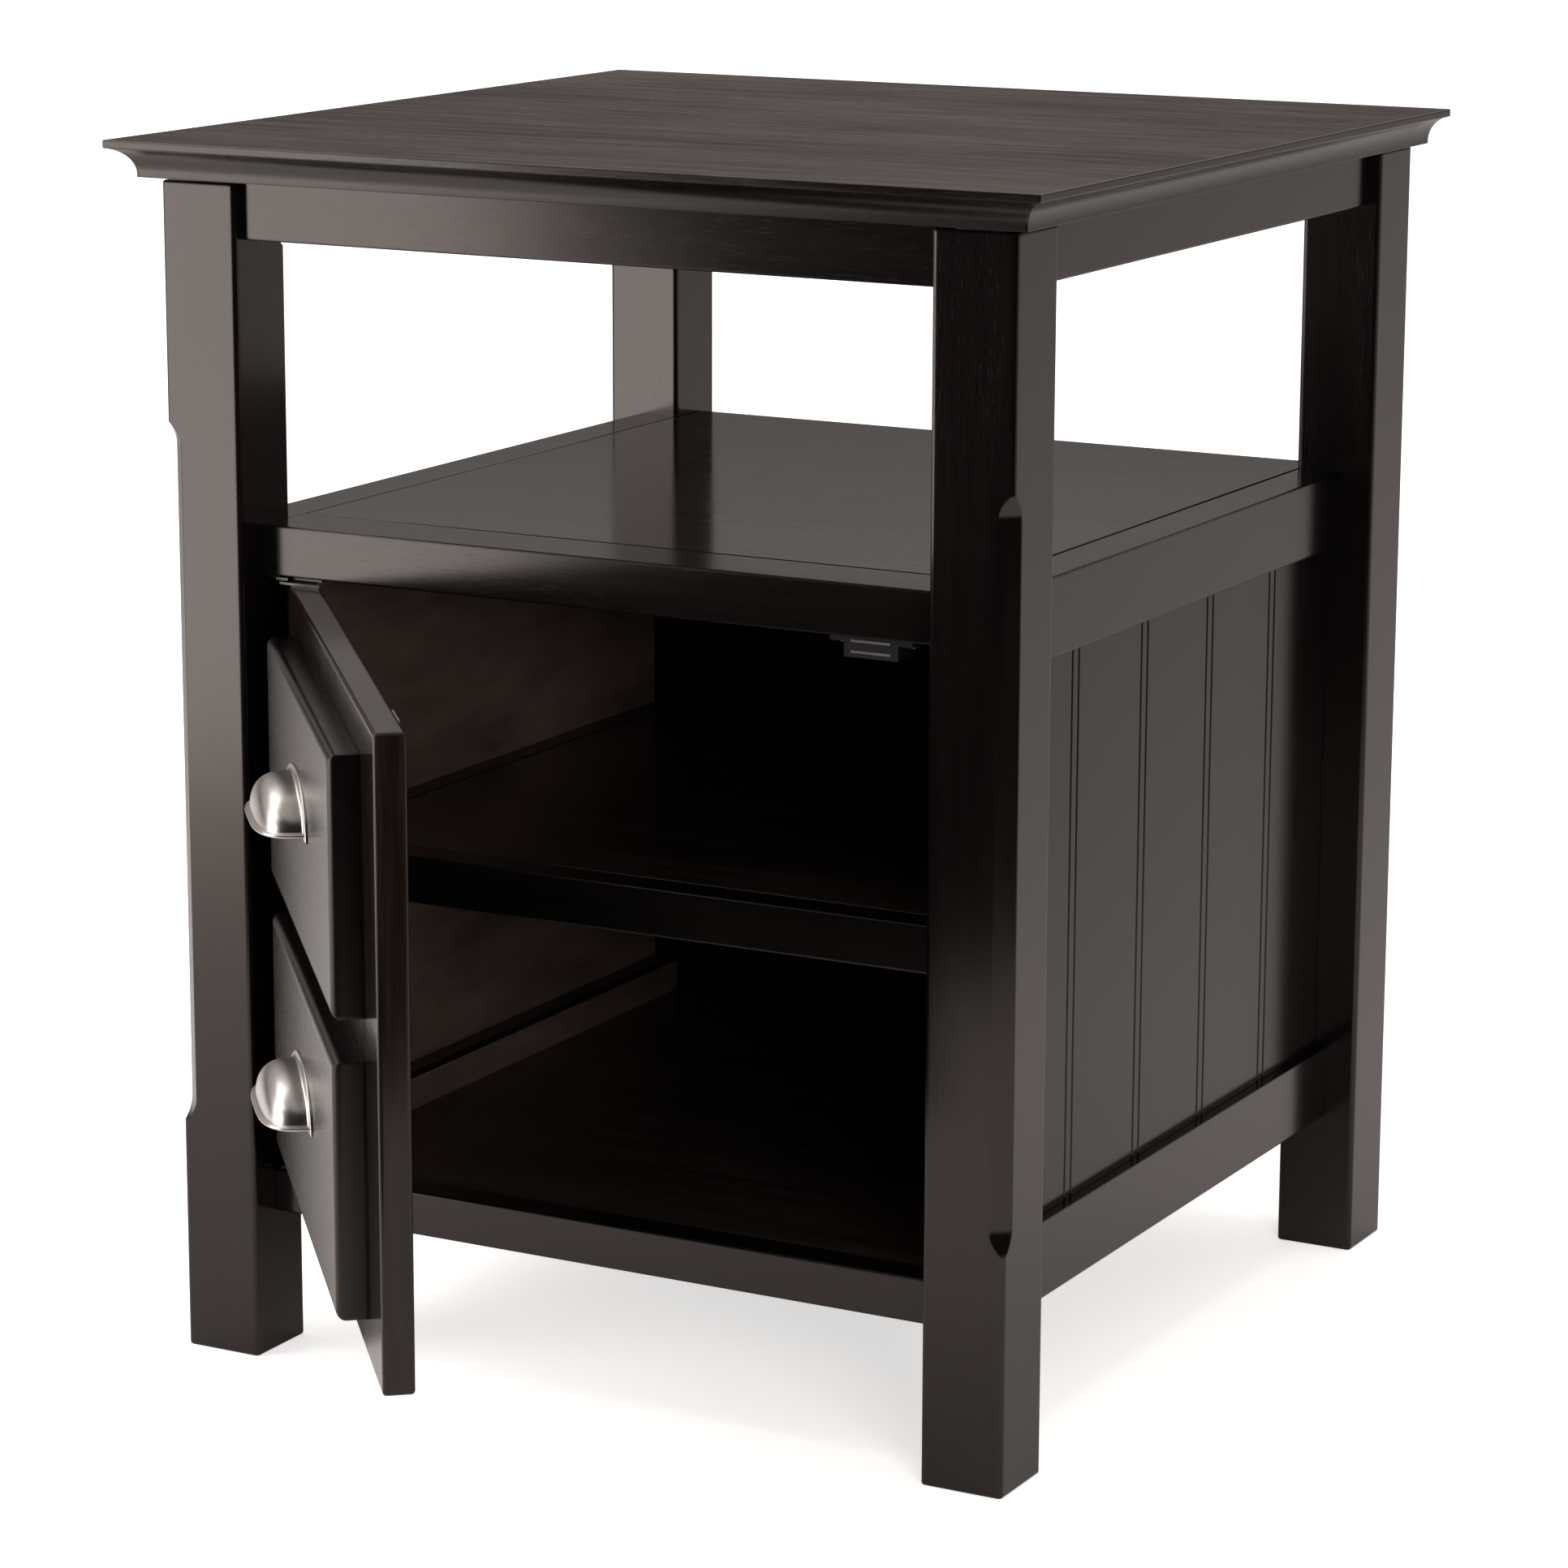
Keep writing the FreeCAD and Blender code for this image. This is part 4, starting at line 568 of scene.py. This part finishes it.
def lay_post(mesh, along):
    """A round post inside the hood, which takes the screw from behind."""
    deep = HOOD_DEPTH - HOOD_WALL
    edge_along, edge_up = abs(along) + POST_RADIUS, POST_LEVEL + POST_RADIUS
    while True:
        reach = HOOD_HALF_WIDTH * superellipse(deep / HOOD_DEPTH, PLAN_POWER)
        height = HOOD_RISE * superellipse(deep / HOOD_DEPTH, PROFILE_POWER)
        if math.hypot(edge_along / reach, edge_up / height) < POST_ROOM:
            break
        deep -= POST_SHORTENING
    turns = [math.tau * step / POST_STEPS for step in range(POST_STEPS)]
    waist = POST_RADIUS * POST_WAIST
    rings = []
    for out, radius in ((0.0, POST_RADIUS), (deep / 2, waist), (deep, POST_RADIUS)):
        rings.append([(along + radius * math.cos(turn), out, POST_LEVEL + radius * math.sin(turn))
                      for turn in turns])
    lay_closed_grid(mesh, rings)


def make_cup_pull(name, lip, material):
    """One pull as a mesh, laid out along the door and then turned open with it."""
    mesh = bmesh.new()
    lay_shell(mesh)
    lay_rim(mesh)
    lay_flange(mesh)
    for side in (-1, 1):
        lay_post(mesh, side * POST_SPACING / 2)
    bmesh.ops.remove_doubles(mesh, verts=mesh.verts, dist=MERGE_DISTANCE)
    bmesh.ops.recalc_face_normals(mesh, faces=mesh.faces)
    for vert in mesh.verts:
        along, out, up = vert.co
        vert.co = (MM * (SLAB_MIDDLE + along), MM * (FRONT_FACE - out), MM * (lip + up))
    bmesh.ops.reverse_faces(mesh, faces=mesh.faces)
    opened = Matrix.Translation(PIVOT) @ Matrix.Rotation(-math.radians(DOOR_OPEN), 4, "Z")
    bmesh.ops.transform(mesh, matrix=opened, verts=mesh.verts)
    data = bpy.data.meshes.new(name)
    mesh.to_mesh(data)
    mesh.free()
    for polygon in data.polygons:
        polygon.use_smooth = True
    data.set_sharp_from_angle(angle=SHARP_ANGLE)
    data.materials.append(material)
    pull = bpy.data.objects.new(name, data)
    bpy.context.scene.collection.objects.link(pull)
    return pull


# ---------------------------------------------------------------- finishes on the parts

PANEL_INNER_X = 0.2121
RAIL_INNER_X = 0.1955

WOOD_FINISHES = [
    (Wood("stained_wood_x", "x", SOLID_STAIN, roughness=0.16, streaks=0.16, pores=0.9),
     ["apron_front", "apron_rear", "shelf_rail_front", "shelf_rail_rear", "bottom_rail_front",
      "bottom_rail_rear", "middle_shelf_rail"]),
    (Wood("stained_wood_y", "y", SOLID_STAIN, roughness=0.16, streaks=0.16, pores=0.9),
     ["apron_left", "apron_right", "middle_cleat_left", "middle_cleat_right"]),
    (Wood("stained_wood_z", "z", SOLID_STAIN, roughness=0.16, streaks=0.16, pores=0.9),
     ["leg_front_left", "leg_front_right", "leg_rear_left", "leg_rear_right"]),
    (Wood("stained_front", "door", SOLID_STAIN, roughness=0.24, streaks=0.16, pores=0.9,
          arris=0.0022, level=0.38),
     ["false_front_lower", "false_front_upper"]),
    (Wood("stained_moulding_x", "x", SOLID_STAIN, roughness=0.27, streaks=0.16, pores=0.6),
     ["top_moulding_front"]),
    (Wood("stained_moulding_y", "y", SOLID_STAIN, roughness=0.27, streaks=0.16, pores=0.6),
     ["top_moulding_left", "top_moulding_right"]),
    (Wood("stained_slab", "z", VENEER_STAIN, roughness=0.14, streaks=0.10, pores=0.5, level=0.36),
     ["door_slab"]),
    (Wood("stained_shelf", "x", VENEER_STAIN, roughness=0.10, streaks=0.10, pores=0.5,
          dull_streaks=0.05, ripple=0.0002),
     ["shelf_panel"]),
    # painted light: the shelves inside the cabinet take a lighter copy of the veneer
    (Wood("stained_veneer", "x", SHELTERED_STAIN_PAINTED_LIGHTER, roughness=0.15, streaks=0.12, pores=0.5,
          dull_streaks=0.10),
     ["middle_shelf", "bottom_panel"]),
    # the top's upward faces take a lighter stain, painted light falling on the top
    (Wood("stained_top", "x", SOLID_STAIN, roughness=0.12, streaks=0.12, pores=0.5,
          dull_streaks=0.14, ripple=0.0004, arris=0.0005, fineness=2.6, upward=TOP_STAIN_PAINTED_LIGHTER),
     ["top_panel"]),
    # inner faces lighter: a thin stain and painted light for the inside of the cabinet
    (Wood("stained_panel", "z", SOLID_STAIN, roughness=0.17, streaks=0.13, pores=0.6, level=0.3,
          inside=PANEL_INNER_X),
     ["side_panel_left", "side_panel_right"]),
    # inner faces lighter: a thin stain and painted light for the inside of the cabinet
    (Wood("stained_rail", "y", SOLID_STAIN, roughness=0.16, streaks=0.13, pores=0.6,
          inside=RAIL_INNER_X),
     ["side_rail_lower_left", "side_rail_lower_right", "side_rail_upper_left",
      "side_rail_upper_right"]),
    (Wood("back_board", "z", BOARD_STAIN, roughness=0.45, streaks=0.2, pores=0.3),
     ["back_panel"]),
]

NICKEL = (0.62, 0.60, 0.575)
HINGE_STEEL = (0.10, 0.095, 0.088)
ZINC = (0.55, 0.55, 0.56)
CATCH_PLASTIC = (0.007, 0.007, 0.007)
ZINC_WORDS = ("corner_bracket", "hanger", "bracket_nuts", "bracket_screws", "back_brads",
              "catch_pole", "catch_screws", "pull_screws", "strike_plate")


def paint(names, material):
    """Gives the named solids one material."""
    for name in names:
        mesh = nodes[name].data
        mesh.materials.clear()
        mesh.materials.append(material)


def finish_parts():
    """One finish for each family of parts, with the grain along each board."""
    for wood, names in WOOD_FINISHES:
        paint(names, make_wood(wood))
    nickel = make_metal("satin_nickel", NICKEL, roughness=0.27, brush_axis="z", brushed=0.5,
                        tint=0.88)
    for level, lip in PULL_LIPS.items():
        pull = make_cup_pull("pull_" + level, lip, nickel)
        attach(pull, "door")
        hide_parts("cup_pull_" + level)
    steel = make_metal("hinge_steel", HINGE_STEEL, roughness=0.38, brush_axis="x", brushed=0.4,
                       tint=0.80)
    paint([name for name in nodes if name.startswith("hinge_")], steel)
    zinc = make_metal("zinc_steel", ZINC, roughness=0.36, brush_axis="x", brushed=0.3, tint=0.75)
    paint([name for name in nodes if name.startswith(ZINC_WORDS)], zinc)
    paint(["catch_body"], make_plastic("catch_plastic", CATCH_PLASTIC))


# ---------------------------------------------------------------- floor and flags

FLOOR_COLOUR = (0.88, 0.86, 0.845)
FLOOR_PALER = 0.985
FLOOR_MOTTLE_FIELD = (3.0, 3.0, 0.5)
FLOOR_ROUGHNESS = 0.85
FLOOR_LEVEL = 0.15
FLOOR_HALF = 40.0
# what the floor shows the eye: distances from the middle, and the strengths there
TO_THE_EYE = (0.3, 1.6, 0.62, 1.0)
# a painted reflection: the floor glows to glossy rays only, near a place at its right; distances
# from that place, and the strengths there
IN_THE_GLOSS = (0.15, 1.15, 0.10, 0.0)
GLOSS_MIDDLE = (0.42, 0.0, 0.0)
WHITE = (1.0, 1.0, 1.0)
# the colour of the painted reflection that the floor shows in gloss
PAINTED_REFLECTION_WHITE = (1.0, 0.90, 0.86)

FLAG_PLAN = [(-0.40, -1.06), (0.75, -1.06), (1.45, -0.25)]
FLAG_FOOT = 0.01
FLAG_TOP = 1.5
FLAG_CLOTH_FIELD = (400.0, 2.0, 0.5)
FLAG_DARK = (0.006, 0.006, 0.006)
FLAG_LIGHT = (0.012, 0.012, 0.012)
FLAG_ROUGHNESS = 0.95


def add_sheet(name, corners, material):
    """A flat four-cornered piece of the studio, which isn't part of the object."""
    mesh = bpy.data.meshes.new(name)
    mesh.from_pydata(corners, [], [(0, 1, 2, 3)])
    mesh.materials.append(material)
    sheet = bpy.data.objects.new(name, mesh)
    bpy.context.scene.collection.objects.link(sheet)
    return sheet


def make_floor():
    """A wide pale floor. To the eye it goes on as the white of the backdrop; the shadow stays. Near
    the table's right side it glows to glossy rays only, a painted reflection.
    """
    material, tree, shader = new_material("studio_floor")
    place = grain_place(tree, "x")
    mottle = noise(tree, place, *FLOOR_MOTTLE_FIELD)
    base = blend_colours(tree, mottle, scaled(FLOOR_COLOUR, FLOOR_PALER), FLOOR_COLOUR)
    tree.links.new(base, shader.inputs["Base Color"])
    shader.inputs["Roughness"].default_value = FLOOR_ROUGHNESS
    shader.inputs["Specular IOR Level"].default_value = FLOOR_LEVEL
    away = add_node(tree, "ShaderNodeVectorMath", {"operation": "LENGTH"},
                    _0=place).outputs["Value"]
    beside = add_node(tree, "ShaderNodeVectorMath", {"operation": "DISTANCE"}, _0=place,
                      _1=GLOSS_MIDDLE).outputs["Value"]
    straight = arithmetic(tree, "MULTIPLY", seen_rays(tree, ["Is Camera Ray"]),
                          fading(tree, away, *TO_THE_EYE))
    # painted reflection: a glow that only glossy rays see, near the table's right side
    painted_reflection = arithmetic(tree, "MULTIPLY",
                          seen_rays(tree, ["Is Glossy Ray", "Is Transmission Ray"]),
                          fading(tree, beside, *IN_THE_GLOSS))
    glow = arithmetic(tree, "ADD", straight, painted_reflection)
    tree.links.new(glow, shader.inputs["Emission Strength"])
    white = blend_colours(tree, seen_rays(tree, ["Is Camera Ray"]), PAINTED_REFLECTION_WHITE, WHITE)
    tree.links.new(white, shader.inputs["Emission Color"])
    corners = [(-FLOOR_HALF, -FLOOR_HALF, 0), (FLOOR_HALF, -FLOOR_HALF, 0),
               (FLOOR_HALF, FLOOR_HALF, 0), (-FLOOR_HALF, FLOOR_HALF, 0)]
    add_sheet("studio_floor", corners, material)


def make_flags():
    """Black cards ahead of the table, out of the camera's sight, that the gloss shows as dark. They
    cast no shadow and no diffuse light sees them: a painted dark reflection.
    """
    material, tree, shader = new_material("studio_flag")
    cloth = noise(tree, grain_place(tree, "x"), *FLAG_CLOTH_FIELD)
    base = blend_colours(tree, cloth, FLAG_DARK, FLAG_LIGHT)
    tree.links.new(base, shader.inputs["Base Color"])
    shader.inputs["Roughness"].default_value = FLAG_ROUGHNESS
    shader.inputs["Specular IOR Level"].default_value = 0.0
    for index, (start, end) in enumerate(zip(FLAG_PLAN, FLAG_PLAN[1:])):
        corners = [(*start, FLAG_FOOT), (*end, FLAG_FOOT), (*end, FLAG_TOP), (*start, FLAG_TOP)]
        flag = add_sheet("studio_flag_" + str(index), corners, material)
        # seen only in reflections: a painted dark reflection that blocks no light
        flag.visible_camera = False
        flag.visible_shadow = False
        flag.visible_diffuse = False


# ---------------------------------------------------------------- lamps and world

LAMP_COLOUR = (1.0, 0.955, 0.93)


class Lamp(NamedTuple):
    """A soft rectangular lamp of an even radiance, in metres."""

    name: str
    place: tuple
    aim: tuple
    width: float
    height: float
    radiance: float
    in_gloss: bool


# The low left panel lights the fronts, and the two above it make the band on the pulls. The
# overhead lamp and the fill light the wood, and no gloss shows them.
LAMPS = [
    Lamp("ceiling", (0.0, 5.0, 4.5), (0.0, 5.0, 0.0), 10.0, 8.0, 0.43, True),
    Lamp("overhead", (0.0, -0.1, 2.8), (0.0, -0.1, 0.0), 1.8, 1.8, 2.5, False),
    Lamp("left_panel", (-1.21, -1.18, 0.47), (-0.20, 0.0, 0.42), 1.05, 0.93, 4.2, True),
    Lamp("left_upper_panel", (-1.40, -0.97, 1.40), (-0.13, -0.40, 0.35), 0.9, 1.0, 2.8, True),
    Lamp("left_top_panel", (-1.53, -0.13, 1.95), (-0.13, -0.40, 0.35), 0.9, 1.0, 2.4, True),
    Lamp("fill", (1.75, -1.95, 0.75), (0.0, -0.1, 0.30), 0.9, 0.9, 11.5, False),
]

WORLD_COLOUR = (1.0, 0.91, 0.865)
# brightness of the studio by the upward part of the direction looked in
WORLD_STOPS = [(0.0, 0.08), (0.10, 0.05), (0.135, 0.08), (0.178, 0.37), (0.35, 0.44)]


def add_lamp(lamp):
    """Puts up one lamp."""
    light = bpy.data.lights.new(lamp.name, "AREA")
    light.shape = "RECTANGLE"
    light.size = lamp.width
    light.size_y = lamp.height
    light.energy = lamp.radiance * math.pi * lamp.width * lamp.height
    light.color = LAMP_COLOUR
    hung = bpy.data.objects.new(lamp.name, light)
    bpy.context.scene.collection.objects.link(hung)
    hung.location = lamp.place
    aim = Vector(lamp.aim) - Vector(lamp.place)
    hung.rotation_euler = aim.to_track_quat("-Z", "Y").to_euler()
    hung.visible_camera = False
    hung.visible_glossy = lamp.in_gloss


def make_world():
    """White to the eye, and else a dim studio that is brighter above."""
    world = bpy.data.worlds.new("studio")
    world.use_nodes = True
    tree = world.node_tree
    background = tree.nodes["Background"]
    background.inputs["Color"].default_value = (*WORLD_COLOUR, 1.0)
    level = ramp(tree, coordinate_part(tree, "Generated", "Z"), WORLD_STOPS)
    level = arithmetic(tree, "MAXIMUM", level, seen_rays(tree, ["Is Camera Ray"]))
    tree.links.new(level, background.inputs["Strength"])
    bpy.context.scene.world = world


make_camera()
finish_parts()
make_floor()
make_flags()
for lamp in LAMPS:
    add_lamp(lamp)
make_world()
bpy.context.scene.view_settings.view_transform = "Standard"
